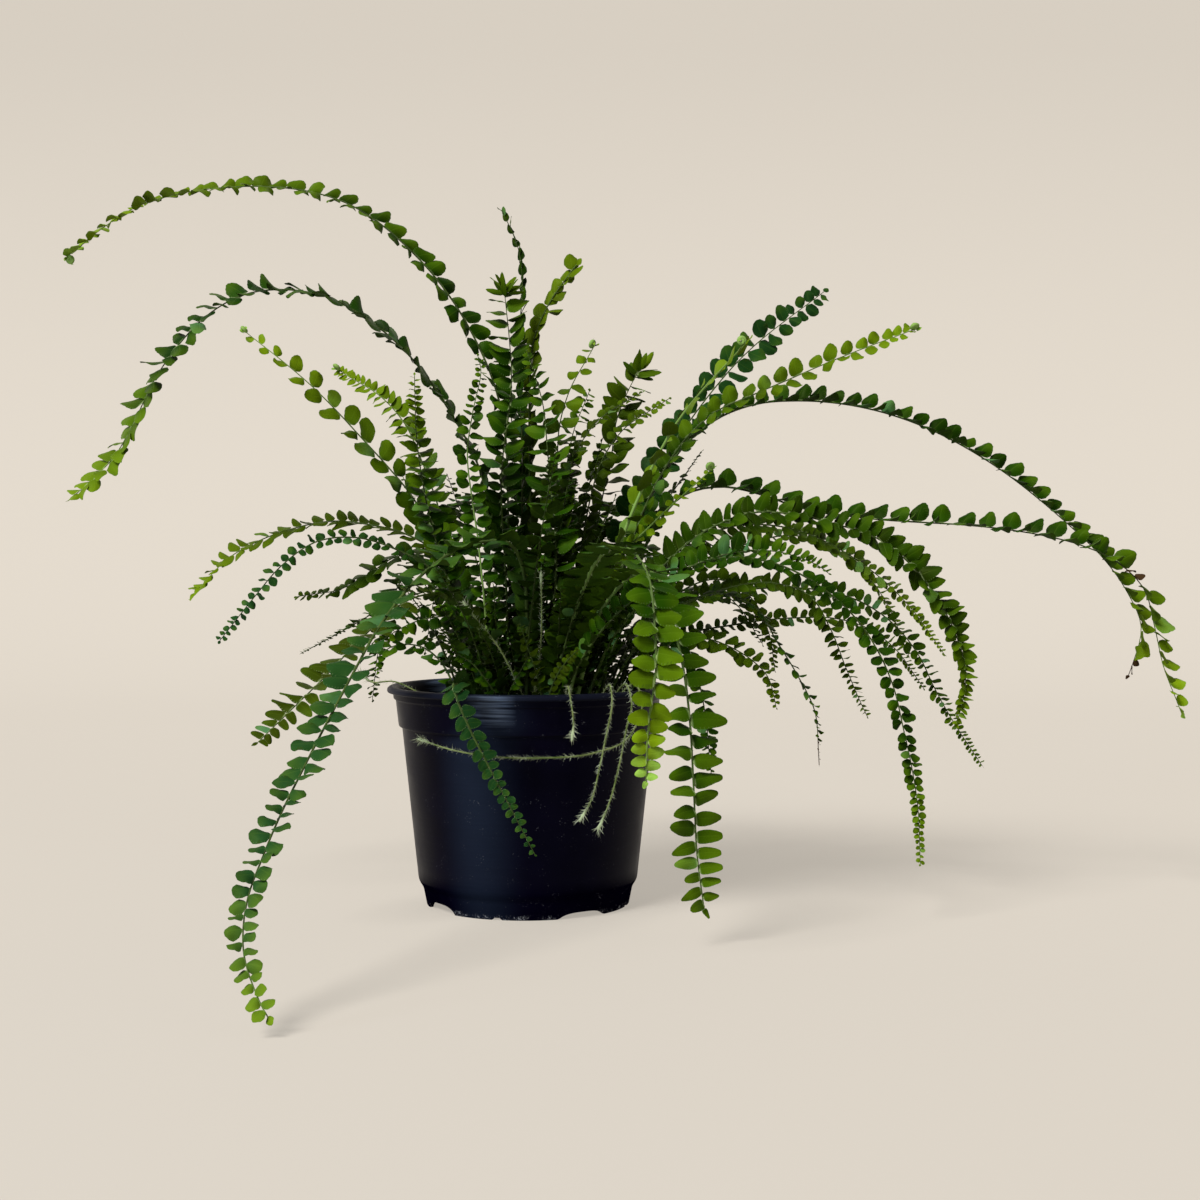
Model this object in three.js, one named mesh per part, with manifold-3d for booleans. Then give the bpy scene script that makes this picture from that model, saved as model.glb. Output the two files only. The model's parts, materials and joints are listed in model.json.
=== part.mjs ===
// Lemon button fern in a black nursery pot. Millimetres, +Z up, the pot's underside centred on the origin.
import * as THREE from 'three';
import { mergeVertices } from 'three/addons/utils/BufferGeometryUtils.js';
import Module from 'manifold-3d';

const wasm = await Module();
wasm.setup();

// Pot
const potHeight = 128;
const lipRadius = 82.5;
const lipHeight = 3.5;
const collarTopRadius = 77.7;
const collarFootRadius = 75.8;
const collarFootZ = 105;
const bodyTopRadius = 73.8;
const bodyTopZ = 104;
const bodyFootRadius = 64.3;
const bodyFootZ = 13.5;
const footTopRadius = 61.5;
const footTopZ = 12;
const footRadius = 59.5;
const footWallThickness = 2.4;
const wallThickness = 1.6;
const floorUnderside = 6;
const floorThickness = 2.5;
const floorFillet = 3;
const lipRound = 1.5;
const lipFlareHeight = 4;
const lipFlare = 1.2;
const padRadius = 9;
const potSides = 36;
const footArchAngles = [-60, 30, 120, 210];
const footArchWidth = 34;
const footArchHeight = 6.5;
const footArchShoulder = 1;
const footArchRoundness = 0.85;
const footCutDepth = 25;
const footNotchAngles = [-15, 75, 165, 255];
const footNotchWidth = 6;
const footNotchHeight = 2.3;
const footNotchDepth = 12;

// Soil
const soilEdgeZ = 109;
const soilShoulderZ = 101;
const soilCrown = 3.5;
const soilBump = 0.9;
const soilWaves = [33, 27];
const soilPhases = [1.3, 0.4];
const soilRings = [0.8, 0.55, 0.28];
const soilSides = 16;
const seatGap = 0.3;
const stemHoleRadius = 3;
const runnerHoleRadius = 4.5;
const holeFloorZ = 102;
const holeLength = 30;
const holeSides = 3;
const stemFootZ = holeFloorZ + seatGap;
const stemClearZ = 116;
const joinZ = 113;

// Fronds and runners
const bladeThickness = 0.7;
const stemThickness = 1;
const stemWidth = 1.6;
const rachisTipWidth = 0.9;
const stipeSegments = 3;
const curveDivisions = 400;
const bareShare = 0.2;
const leafletPitch = 24;
const leafletFold = 12;
const leftLean = 0.14;
const rightLean = -0.02;
const tipShare = 0.4;
const stubLength = 1.2;
const tuftPitch = 13;
const tuftBare = 0.38;
const runnerRadius = 1;
const runnerSides = 5;
const runnerExtraSteps = 4;

// A leaflet's length along the blade, as a share of the longest one
const footLength = 0.55;
const footGain = 2.2;
const tipLength = 0.32;
const tipGain = 1.7;

// Crowded leaflets are shortened step by step until they clear their neighbours
const clearance = 0.3;
const trimStep = 0.72;
const trimLimit = 0.3;
const trimPasses = 12;

// Leaflet outlines: along the rachis as a share of the pitch, and across as a share of the leaflet's length
const buttonOutline = [[0.12, 0.85], [0.72, 1]];
const broadOutline = [[0.08, 0.7], [0.5, 1], [0.92, 0.78]];

const potMaterial = new THREE.MeshStandardMaterial({ color: 0x14151a, roughness: 0.45, metalness: 0 });
const soilMaterial = new THREE.MeshStandardMaterial({ color: 0x2a1d14, roughness: 0.95, metalness: 0 });
const runnerMaterial = new THREE.MeshStandardMaterial({ color: 0x9aa872, roughness: 0.7, metalness: 0 });

const group = new THREE.Group();

function addMesh(name, geometry, material) {
  const mesh = new THREE.Mesh(geometry, material);
  mesh.name = name;
  group.add(mesh);
}

function solidOf(geometry) {
  const bare = geometry.clone();
  bare.deleteAttribute('normal');
  bare.deleteAttribute('uv');
  const merged = mergeVertices(bare, 1e-3);
  return new wasm.Manifold(new wasm.Mesh({
    numProp: 3,
    vertProperties: new Float32Array(merged.attributes.position.array),
    triVerts: new Uint32Array(merged.index.array),
  }));
}

function geometryOf(solid) {
  const mesh = solid.getMesh();
  const geometry = new THREE.BufferGeometry();
  geometry.setAttribute('position', new THREE.BufferAttribute(new Float32Array(mesh.vertProperties), 3));
  geometry.setIndex(new THREE.BufferAttribute(new Uint32Array(mesh.triVerts), 1));
  geometry.computeVertexNormals();
  return geometry;
}

function lathe(profile, sides) {
  const points = profile.map(([radius, z]) => new THREE.Vector2(radius, z));
  return new THREE.LatheGeometry(points, sides).rotateX(Math.PI / 2);
}

// A wall's inner radius at a height, along the straight body of the pot
function innerRadius(z) {
  const share = (z - bodyFootZ) / (bodyTopZ - bodyFootZ);
  return bodyFootRadius + share * (bodyTopRadius - bodyFootRadius) - wallThickness;
}

// Turns a shape that faces the front (-Y) to an angle measured from there, positive to the right
function facing(geometry, degrees) {
  return geometry.rotateZ(THREE.MathUtils.degToRad(degrees));
}

function footArch() {
  const halfWidth = footRadius * Math.sin(THREE.MathUtils.degToRad(footArchWidth / 2));
  const bend = halfWidth * footArchRoundness;
  const shape = new THREE.Shape();
  shape.moveTo(-halfWidth, -footArchHeight);
  shape.lineTo(halfWidth, -footArchHeight);
  shape.lineTo(halfWidth, footArchShoulder);
  shape.quadraticCurveTo(bend, footArchHeight, 0, footArchHeight);
  shape.quadraticCurveTo(-bend, footArchHeight, -halfWidth, footArchShoulder);
  shape.closePath();
  const geometry = new THREE.ExtrudeGeometry(shape, { depth: footCutDepth, bevelEnabled: false, curveSegments: 3 });
  return geometry.rotateX(Math.PI / 2).translate(0, footCutDepth / 2 - footRadius, 0);
}

function potGeometry() {
  const lipFoot = potHeight - lipHeight;
  const floorTop = floorUnderside + floorThickness;
  const profile = [
    [0, 0], [padRadius, 0], [padRadius + 1, floorUnderside], [footRadius - footWallThickness, floorUnderside],
    [footRadius - footWallThickness, 0], [footRadius, 0], [footTopRadius, footTopZ],
    [bodyFootRadius, bodyFootZ], [bodyTopRadius, bodyTopZ], [collarFootRadius, collarFootZ],
    [collarTopRadius, lipFoot - lipFlareHeight], [collarTopRadius + lipFlare, lipFoot],
    [lipRadius, lipFoot + lipRound / 3], [lipRadius, potHeight - lipRound], [lipRadius - lipRound, potHeight],
    [collarTopRadius, potHeight], [collarFootRadius - wallThickness, potHeight - 2 * lipFlareHeight],
    [innerRadius(bodyTopZ), bodyTopZ], [innerRadius(bodyFootZ), floorTop + floorFillet],
    [innerRadius(bodyFootZ) - floorFillet, floorTop], [0, floorTop],
  ];
  let pot = solidOf(lathe(profile, potSides));
  for (const angle of footArchAngles) {
    pot = pot.subtract(solidOf(facing(footArch(), angle)));
  }
  for (const angle of footNotchAngles) {
    const notch = new THREE.BoxGeometry(footNotchWidth, footNotchDepth, footNotchHeight * 2);
    pot = pot.subtract(solidOf(facing(notch.translate(0, -footRadius, 0), angle)));
  }
  return geometryOf(pot);
}

// The soil is slightly crowned and uneven, and level where it meets the wall
function soilHeight(x, y) {
  const share = Math.min(1, Math.hypot(x, y) / innerRadius(soilEdgeZ));
  const turnX = 2 * Math.PI * x / soilWaves[0] + soilPhases[0];
  const turnY = 2 * Math.PI * y / soilWaves[1] - soilPhases[1];
  const ripple = Math.sin(turnX) * Math.cos(turnY);
  return soilEdgeZ + soilCrown * (1 - share * share) + soilBump * ripple * (1 - share ** 6);
}

function soilGeometry(holes) {
  const top = innerRadius(soilEdgeZ) - seatGap;
  const bottom = innerRadius(bodyFootZ) - seatGap;
  const floor = floorUnderside + floorThickness + seatGap;
  const profile = [
    [0, floor], [bottom - floorFillet, floor], [bottom, floor + floorFillet],
    [innerRadius(soilShoulderZ) - seatGap, soilShoulderZ], [top, soilEdgeZ],
    ...soilRings.map((ring) => [top * ring, soilEdgeZ]), [0, soilEdgeZ],
  ];
  const geometry = lathe(profile, soilSides);
  const position = geometry.attributes.position;
  for (let i = 0; i < position.count; i++) {
    if (position.getZ(i) > soilShoulderZ + seatGap) {
      position.setZ(i, soilHeight(position.getX(i), position.getY(i)));
    }
  }
  let soil = solidOf(geometry);
  for (const { root: [x, y], radius } of holes) {
    const hole = new THREE.CylinderGeometry(radius, radius, holeLength, holeSides).rotateX(Math.PI / 2);
    soil = soil.subtract(solidOf(hole.translate(x, y, holeFloorZ + holeLength / 2)));
  }
  return geometryOf(soil);
}

// A stem's centre line: straight up out of its hole, or branching off the first stem of its tuft
function stemCurve([x, y], via, branches) {
  const foot = branches ? [[x, y, joinZ]] : [[x, y, stemFootZ], [x, y, stemClearZ]];
  const points = [...foot, ...via].map((p) => new THREE.Vector3(...p));
  const curve = new THREE.CatmullRomCurve3(points, false, 'centripetal');
  curve.arcLengthDivisions = curveDivisions;
  return curve;
}

// Stations along a frond: where the rachis is, which way it runs, and which way the blade spreads
function frondStations(frond) {
  const [x, y] = frond.root;
  const curve = stemCurve(frond.root, frond.via, frond.branches);
  const bare = frond.bare ?? bareShare;
  const pairs = Math.round(curve.getLength() * (1 - bare) / (frond.pitch ?? leafletPitch));
  const clear = (stemClearZ - stemFootZ) / curve.getLength();
  const shares = [0];
  for (let i = 0; i < stipeSegments - 1; i++) {
    shares.push(clear + (bare - clear) * i / (stipeSegments - 1));
  }
  for (let i = 0; i <= pairs; i++) {
    shares.push(bare + (1 - bare) * i / (pairs + tipShare));
  }
  shares.push(1);
  const tip = frond.via[frond.via.length - 1];
  const heading = new THREE.Vector3(tip[0] - x, tip[1] - y, 0).normalize();
  let side = new THREE.Vector3(-heading.y, heading.x, 0);
  const [rollStart, rollEnd] = frond.roll ?? [0, 0];
  const stations = shares.map((share) => {
    const tangent = curve.getTangentAt(share);
    side = side.clone().addScaledVector(tangent, -side.dot(tangent)).normalize();
    const roll = THREE.MathUtils.degToRad(rollStart + (rollEnd - rollStart) * share);
    const turned = side.clone().applyAxisAngle(tangent, roll);
    const normal = tangent.clone().cross(turned).normalize();
    return { point: curve.getPointAt(share), share, side: turned, normal };
  });
  return { stations, pairs, bare };
}

// Leaflets are short at the foot of the blade, full along the middle and small towards the tip
function leafletScale(share, taper = tipGain) {
  return Math.min(1, footLength + footGain * share, tipLength + taper * (1 - share));
}

// One closed thin blade: two faces a thickness apart, leaflets cut to the rachis, and a wall round the edge
function frondGeometry(frond, layout, trims, extra = 0) {
  const { stations, pairs, bare } = layout;
  const vertices = [];
  const triangles = [];
  const fold = THREE.MathUtils.degToRad(frond.fold ?? leafletFold);
  const outline = frond.broad ? broadOutline : buttonOutline;

  function addPoint(point, normal, thickness) {
    const top = point.clone().addScaledVector(normal, thickness / 2);
    const below = point.clone().addScaledVector(normal, -thickness / 2);
    vertices.push(top.x, top.y, top.z, below.x, below.y, below.z);
    return vertices.length / 6 - 1;
  }
  function addFace(a, b, c) {
    triangles.push(2 * a, 2 * b, 2 * c, 2 * c + 1, 2 * b + 1, 2 * a + 1);
  }
  function addWall(a, b) {
    triangles.push(2 * a, 2 * a + 1, 2 * b, 2 * b, 2 * a + 1, 2 * b + 1);
  }

  const edges = stations.map(({ point, side, normal, share }, i) => {
    const along = Math.max(0, (share - bare) / (1 - bare));
    const half = (stemWidth + (rachisTipWidth - stemWidth) * share + 2 * extra) / 2;
    const thickness = (i <= stipeSegments ? stemThickness : bladeThickness) + 2 * extra;
    return {
      left: addPoint(point.clone().addScaledVector(side, half), normal, thickness),
      right: addPoint(point.clone().addScaledVector(side, -half), normal, thickness),
      along, half, thickness,
    };
  });

  for (let i = 0; i < stations.length - 1; i++) {
    const here = edges[i];
    const next = edges[i + 1];
    addFace(here.right, next.right, next.left);
    addFace(here.right, next.left, here.left);
    const leafy = i >= stipeSegments && i < stipeSegments + pairs;
    if (!leafy) {
      addWall(next.left, here.left);
      addWall(here.right, next.right);
      continue;
    }
    const from = stations[i];
    const to = stations[i + 1];
    const middle = (here.along + next.along) / 2;
    const pitch = from.point.distanceTo(to.point);
    const direction = to.point.clone().sub(from.point).normalize();
    for (const hand of [1, -1]) {
      const trim = trims[2 * (i - stipeSegments) + (hand > 0 ? 0 : 1)];
      const length = Math.max(stubLength, frond.leaf * leafletScale(middle, frond.taper) * trim) + extra;
      const side = from.side.clone().add(to.side).normalize();
      const normal = from.normal.clone().add(to.normal).normalize();
      const reach = side.multiplyScalar(hand * Math.cos(fold)).addScaledVector(normal, Math.sin(fold));
      const bladeNormal = direction.clone().cross(reach).multiplyScalar(hand).normalize();
      const lean = hand > 0 ? leftLean : rightLean;
      const rim = outline.map(([along, across]) => {
        const point = from.point.clone().addScaledVector(direction, (along + lean) * pitch);
        point.addScaledVector(reach, here.half + across * length);
        return addPoint(point, bladeNormal, bladeThickness + 2 * extra);
      });
      const [start, end] = hand > 0 ? [here.left, next.left] : [here.right, next.right];
      const loop = hand > 0 ? [end, ...rim.reverse(), start] : [start, ...rim, end];
      for (let k = 1; k < loop.length - 1; k++) {
        addFace(loop[0], loop[k], loop[k + 1]);
      }
      for (let k = 0; k < loop.length - 1; k++) {
        addWall(loop[k], loop[k + 1]);
      }
    }
  }
  const first = edges[0];
  const last = edges[edges.length - 1];
  addWall(first.left, first.right);
  addWall(last.right, last.left);

  const geometry = new THREE.BufferGeometry();
  geometry.setAttribute('position', new THREE.BufferAttribute(new Float32Array(vertices), 3));
  geometry.setIndex(triangles);
  return geometry;
}

function boxesMeet(a, b) {
  const boxA = a.boundingBox();
  const boxB = b.boundingBox();
  return [0, 1, 2].every((k) => boxA.min[k] <= boxB.max[k] && boxB.min[k] <= boxA.max[k]);
}

// The vertices of what two solids share, or none where they are apart
function sharedPoints(a, b) {
  if (!boxesMeet(a, b)) {
    return [];
  }
  const common = a.intersect(b);
  if (common.isEmpty()) {
    return [];
  }
  const flat = common.getMesh().vertProperties;
  const points = [];
  for (let i = 0; i < flat.length; i += 3) {
    points.push(new THREE.Vector3(flat[i], flat[i + 1], flat[i + 2]));
  }
  return points;
}

// Which leaflet of a frond a point belongs to
function leafletAt(layout, point) {
  let best = 0;
  let nearest = Infinity;
  for (let i = 0; i < layout.pairs; i++) {
    const from = layout.stations[stipeSegments + i];
    const to = layout.stations[stipeSegments + i + 1];
    const middle = from.point.clone().lerp(to.point, 0.5);
    const distance = middle.distanceTo(point);
    if (distance < nearest) {
      nearest = distance;
      best = 2 * i + (point.clone().sub(middle).dot(from.side) > 0 ? 0 : 1);
    }
  }
  return best;
}

// Leaflets that would reach into a neighbour stay short, as they do where fronds crowd each other
function trimLeaflets(frond, layout, neighbours) {
  const trims = new Array(layout.pairs * 2).fill(1);
  let crossed = [];
  for (let pass = 0; pass < trimPasses; pass++) {
    const solid = solidOf(frondGeometry(frond, layout, trims, clearance));
    const touched = new Set();
    crossed = [];
    for (const other of neighbours) {
      const points = sharedPoints(solid, other.solid);
      points.forEach((point) => touched.add(leafletAt(layout, point)));
      if (points.length > 0) {
        crossed.push(other.name);
      }
    }
    if (touched.size === 0) {
      return trims;
    }
    touched.forEach((leaflet) => {
      trims[leaflet] = trims[leaflet] > trimLimit ? trims[leaflet] * trimStep : 0;
    });
  }
  throw new Error(`${frond.name} meets ${crossed.join(', ')}`);
}

function runnerGeometry(root, via, branches) {
  const path = stemCurve(root, via, branches);
  const section = new THREE.Shape();
  for (let i = 0; i < runnerSides; i++) {
    const angle = 2 * Math.PI * i / runnerSides;
    const [u, v] = [runnerRadius * Math.cos(angle), runnerRadius * Math.sin(angle)];
    i === 0 ? section.moveTo(u, v) : section.lineTo(u, v);
  }
  section.closePath();
  const steps = via.length + runnerExtraSteps;
  return new THREE.ExtrudeGeometry(section, { steps, extrudePath: path, bevelEnabled: false });
}

// Runners: pale stolons that hang over the lip in front, lie over it on the left, or stand among the stipes
const runners = [
  { name: 'runners_front_right', root: [44, -36], branches: [
    [[54, -46, 126], [62, -55, 132.5], [66, -59, 122], [62, -55, 108], [55, -61, 100], [42, -70, 96],
      [29, -76, 94], [-12, -81, 94], [-38, -73, 97], [-60, -57, 102]],
    [[51, -49, 126], [57, -61, 132.5], [60, -66, 122], [57, -67, 108], [53, -68, 88], [48, -70, 69], [41, -72, 52]],
    [[44, -54, 126], [48, -69, 132.5], [49, -73, 122], [46, -74, 106], [42, -75, 87], [38, -76, 71], [31, -77, 58]],
  ] },
  { name: 'runner_front_stub', root: [23, -52],
    branches: [[[24, -65, 125], [25, -79, 132.5], [27, -84, 122], [28, -84, 112], [27, -84, 103]]] },
  { name: 'runner_left_rim', root: [-46, -14],
    branches: [[[-62, -15, 124], [-77, -16, 131], [-90, -18, 131], [-97, -19, 137]]] },
  { name: 'runner_erect_left', root: [2, -52], branches: [[[-13, -57, 151], [-30, -59, 173], [-41, -61, 188]]] },
  { name: 'runner_erect_middle', root: [4, -37], branches: [[[9, -41, 156], [9, -42, 196]]] },
];

// Fronds: root in the soil, then points that the rachis passes. roll turns the blade about the rachis from foot
// to tip, fold lifts the leaflets, leaf is the longest leaflet, bare is the share of the stipe without leaflets.
const green = 0x2c5a1c;
const lime = 0x7fae32;
const olive = 0x55701f;
const fronds = [
  // hanging over the front
  { name: 'frond_front_left_trailing', root: [0, -26], leaf: 14, bare: 0.14, roll: [0, -20], broad: true,
    via: [[0, -28, 179], [-5, -45, 208], [-26, -75, 211], [-47, -113, 198], [-66, -155, 173], [-81, -195, 140],
      [-93, -228, 111], [-105, -262, 79], [-113, -288, 46], [-108, -304, 24], [-97, -315, 8]] },
  { name: 'frond_front_right_lime', root: [10, -30], leaf: 16, bare: 0.2, roll: [0, 0], broad: true, color: lime,
    via: [[22, -40, 150], [30, -50, 177], [42, -100, 203], [56, -150, 208], [66, -180, 195], [69, -193, 170],
      [69, -197, 141], [65, -196, 117], [65, -193, 92]] },
  { name: 'frond_front_right_hanging', root: [24, -34], leaf: 15.5, bare: 0.22, taper: 3.5, broad: true,
    via: [[32, -38, 150], [50, -52, 183], [70, -85, 196], [78, -112, 178], [85, -126, 150], [89, -131, 119],
      [91, -133, 83], [93, -132, 47], [97, -130, 18]] },
  { name: 'frond_front_over_pot', root: [-26, -50], leaf: 9.5, bare: 0.28, pitch: 13, broad: true,
    via: [[-32, -64, 127], [-38, -82, 135], [-33, -92, 122], [-25, -94, 105], [-12, -95, 80], [-1, -95, 59], [8, -93, 41]] },
  { name: 'frond_front_right_small', root: [54, -22], leaf: 7, bare: 0.3, roll: [20, 70],
    via: [[68, -28, 138], [88, -31, 156], [100, -33, 127], [106, -35, 79]] },
  // big arches
  { name: 'frond_left_high_arch', root: [-8, 10], leaf: 11, bare: 0.26, roll: [-60, -10], fold: 35,
    via: [[-12, 10, 200], [-15, 10, 285], [-31, 15, 331], [-61, 20, 376], [-110, 30, 416], [-170, 40, 428],
      [-240, 50, 418], [-288, 60, 388]] },
  { name: 'frond_left_wide_arch', root: [-22, -2], leaf: 12, bare: 0.24, roll: [0, -35], fold: 15,
    via: [[-23, -4, 180], [-25, -8, 245], [-42, -12, 283], [-73, -20, 325], [-118, -30, 353], [-164, -38, 350],
      [-200, -45, 316], [-229, -52, 260], [-253, -58, 235]] },
  { name: 'frond_right_high_arch', root: [40, 8], leaf: 10, bare: 0.2, roll: [20, 40], fold: 50,
    via: [[50, 10, 165], [66, 13, 225], [96, 17, 273], [129, 20, 293], [181, 25, 296], [229, 28, 285],
      [275, 30, 262], [321, 32, 227], [354, 33, 194], [371, 34, 159], [362, 33, 129]] },
  { name: 'frond_right_wide_arch', root: [42, -10], leaf: 11, bare: 0.2, roll: [20, 40], fold: 48,
    via: [[63, -11, 195], [89, -12, 238], [118, -13, 244], [158, -15, 232], [204, -17, 225], [251, -18, 222],
      [297, -19, 216], [337, -20, 203], [359, -20, 181], [365, -20, 150], [380, -20, 110]] },
  // left side
  { name: 'frond_left_rising', root: [-26, 12], leaf: 14, roll: [-70, -70],
    via: [[-36, 12, 150], [-47, 12, 196], [-68, 16, 237], [-99, 22, 273], [-132, 28, 307], [-174, 35, 341]] },
  { name: 'frond_left_back_rising', root: [-16, 24], leaf: 8.5, roll: [-50, -60], color: lime,
    via: [[-30, 28, 155], [-46, 35, 201], [-62, 45, 250], [-84, 55, 294], [-121, 65, 320]] },
  { name: 'frond_left_inner_rising', root: [-30, -17], leaf: 11, roll: [-60, -80], color: lime,
    via: [[-36, -20, 150], [-44, -22, 184], [-56, -28, 230], [-62, -32, 270], [-63, -35, 307]] },
  { name: 'frond_left_low_arch_back', root: [-31, 28], leaf: 10, roll: [0, -30],
    via: [[-38, 30, 150], [-47, 29, 190], [-60, 26, 210], [-115, 35, 225], [-153, 42, 218], [-185, 48, 203],
      [-210, 53, 178]] },
  { name: 'frond_left_low_arch_front', root: [-38, -7], leaf: 8, roll: [-10, -75],
    via: [[-42, -10, 150], [-50, -14, 190], [-76, -20, 208], [-107, -28, 215], [-129, -34, 207], [-149, -40, 186],
      [-173, -46, 155]] },
  { name: 'frond_left_short_back', root: [-28, 42], leaf: 11, roll: [-10, -40],
    via: [[-40, 42, 160], [-49, 44, 193], [-74, 50, 206], [-97, 60, 195], [-117, 68, 184], [-150, 80, 178]] },
  { name: 'frond_left_thin_back', root: [-14, 46], leaf: 7, bare: 0.35, roll: [0, 0],
    via: [[-30, 58, 160], [-52, 75, 182], [-85, 90, 176], [-123, 115, 156], [-156, 135, 139]] },
  { name: 'frond_left_comb', root: [-22, -29], leaf: 9, roll: [-30, -70],
    via: [[-20, -31, 145], [-32, -33, 166], [-49, -38, 169], [-68, -46, 165], [-82, -54, 154]] },
  { name: 'frond_left_rim', root: [-42, 3], leaf: 8, pitch: 14, roll: [-20, -50],
    via: [[-48, 7, 135], [-62, 13, 149], [-84, 18, 149], [-92, 20, 132]] },
  { name: 'frond_front_left_short', root: [-20, -38], leaf: 12, bare: 0.3, roll: [0, -20], color: olive,
    via: [[-24, -40, 150], [-34, -46, 177], [-57, -65, 182], [-80, -85, 166], [-104, -102, 140], [-137, -125, 106]] },
  // middle
  { name: 'frond_top_thin', root: [-2, 16], leaf: 7, bare: 0.35, roll: [60, 60],
    via: [[-4, 14, 200], [-4, 16, 267], [-6, 18, 327], [-4, 20, 372], [-8, 21, 393], [-18, 22, 413]] },
  { name: 'frond_top_bushy', root: [-10, -7], leaf: 13, roll: [20, 20],
    via: [[-12, -8, 180], [-15, -9, 251], [-9, -11, 304], [-13, -13, 359]] },
  { name: 'frond_top_leaning', root: [6, 24], leaf: 11, bare: 0.25, roll: [30, 50],
    via: [[2, 26, 200], [0, 27, 298], [3, 28, 335], [13, 30, 358], [30, 33, 382]] },
  { name: 'frond_middle_broad', root: [10, -14], leaf: 14, roll: [60, 10],
    via: [[17, -18, 201], [13, -20, 253], [9, -22, 294], [0, -25, 323]] },
  { name: 'frond_middle_curled', root: [16, 6], leaf: 10, roll: [50, 50],
    via: [[18, 7, 200], [17, 7, 255], [21, 8, 293], [40, 10, 330]] },
  { name: 'frond_middle_crested', root: [22, 28], leaf: 11, roll: [50, 60],
    via: [[30, 30, 170], [41, 35, 226], [50, 40, 268], [55, 43, 296], [67, 46, 318]] },
  { name: 'frond_middle_right_tip', root: [24, 11], leaf: 9, roll: [60, 50],
    via: [[30, 11, 196], [38, 12, 243], [50, 14, 273], [66, 16, 286], [84, 18, 298]] },
  { name: 'frond_middle_right_inner', root: [14, -4], leaf: 9, roll: [60, 40],
    via: [[20, -10, 213], [27, -14, 260], [42, -16, 283], [68, -20, 299]] },
  { name: 'frond_middle_pale_stem', root: [-20, -17], leaf: 8, bare: 0.3, roll: [0, 40],
    via: [[-26, -30, 201], [-33, -34, 270], [-25, -36, 305], [-27, -38, 318]] },
  // right side
  { name: 'frond_right_upright_dark', root: [34, 16], leaf: 10, roll: [60, 75],
    via: [[48, 20, 192], [70, 28, 244], [97, 36, 286], [131, 45, 327], [182, 58, 368]] },
  { name: 'frond_right_upright_light', root: [28, -20], leaf: 12, roll: [10, 20], color: lime,
    via: [[47, -30, 190], [65, -38, 239], [87, -46, 281], [124, -56, 323]] },
  { name: 'frond_right_curled_tip', root: [34, -2], leaf: 11, roll: [50, 60], fold: 30, color: lime,
    via: [[57, 0, 201], [78, -2, 251], [104, -5, 284], [142, -9, 302], [182, -14, 319], [225, -18, 335]] },
  { name: 'frond_right_drooping_front', root: [38, -24], leaf: 12, roll: [40, 70], fold: 30,
    via: [[66, -32, 182], [99, -38, 216], [133, -42, 229], [166, -45, 224], [200, -47, 213], [225, -48, 190],
      [243, -48, 159], [249, -47, 128], [242, -46, 107]] },
  { name: 'frond_right_long_hanging', root: [34, -38], leaf: 7.5, bare: 0.3, roll: [0, 80],
    via: [[58, -50, 170], [98, -58, 200], [131, -63, 202], [158, -67, 191], [183, -70, 170], [201, -72, 140],
      [210, -73, 106], [217, -73, 70], [219, -73, 34]] },
  { name: 'frond_right_low_long', root: [46, 4], leaf: 9, roll: [10, 70],
    via: [[68, 4, 165], [101, 6, 179], [143, 8, 185], [182, 10, 182], [209, 11, 170], [230, 12, 148],
      [247, 13, 115], [271, 14, 78]] },
  { name: 'frond_right_low_back', root: [32, 37], leaf: 9, roll: [10, 60],
    via: [[75, 37, 150], [125, 42, 162], [165, 47, 166], [199, 50, 163], [224, 52, 147], [243, 53, 121]] },
  { name: 'frond_right_drooping_back', root: [41, 25], leaf: 10, roll: [30, 60],
    via: [[55, 28, 160], [72, 30, 188], [116, 45, 220], [160, 60, 221], [199, 70, 204], [234, 78, 176], [261, 84, 141]] },
  { name: 'frond_right_far_back', root: [27, 46], leaf: 9.5, roll: [30, 60],
    via: [[50, 53, 165], [80, 66, 190], [106, 80, 201], [164, 100, 217], [201, 110, 206], [228, 118, 175],
      [245, 122, 137]] },
  { name: 'frond_right_comb', root: [51, -13], leaf: 7.5, roll: [10, 80],
    via: [[70, -20, 160], [111, -24, 184], [146, -27, 188], [165, -29, 179], [177, -30, 156], [187, -31, 130],
      [196, -31, 111]] },
  { name: 'frond_right_thin_hanging', root: [46, -25], leaf: 7, bare: 0.3, roll: [0, 20],
    via: [[68, -38, 160], [99, -45, 181], [124, -50, 180], [146, -54, 148], [162, -56, 119], [165, -57, 86]] },
  { name: 'frond_right_short_low', root: [53, -4], leaf: 8, pitch: 14, roll: [30, 60], color: lime,
    via: [[74, -10, 146], [100, -11, 156], [127, -12, 146], [141, -13, 132], [145, -13, 115]] },
  { name: 'frond_right_short_middle', root: [50, 14], leaf: 8, pitch: 14, roll: [30, 70],
    via: [[78, 17, 172], [111, 21, 190], [133, 24, 179], [144, 26, 158], [148, 27, 134]] },
  { name: 'frond_right_young', root: [22, -11], leaf: 7, bare: 0.35, roll: [40, 50], color: lime,
    via: [[42, -22, 188], [72, -27, 222], [107, -31, 254]] },
  { name: 'frond_right_broad_front', root: [18, -44], leaf: 13, roll: [30, 50], fold: 40,
    via: [[48, -60, 168], [86, -72, 195], [118, -82, 206], [150, -92, 204], [166, -96, 194]] },
  // back
  { name: 'frond_back_left_arch', root: [-6, 52], leaf: 12,
    via: [[-14, 70, 190], [-30, 105, 240], [-50, 145, 235], [-68, 180, 190], [-80, 205, 135]] },
  { name: 'frond_back_middle_arch', root: [8, 56], leaf: 13,
    via: [[10, 75, 200], [14, 115, 255], [16, 160, 250], [16, 200, 200], [14, 225, 140]] },
  { name: 'frond_back_right_arch', root: [20, 56], leaf: 12,
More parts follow.
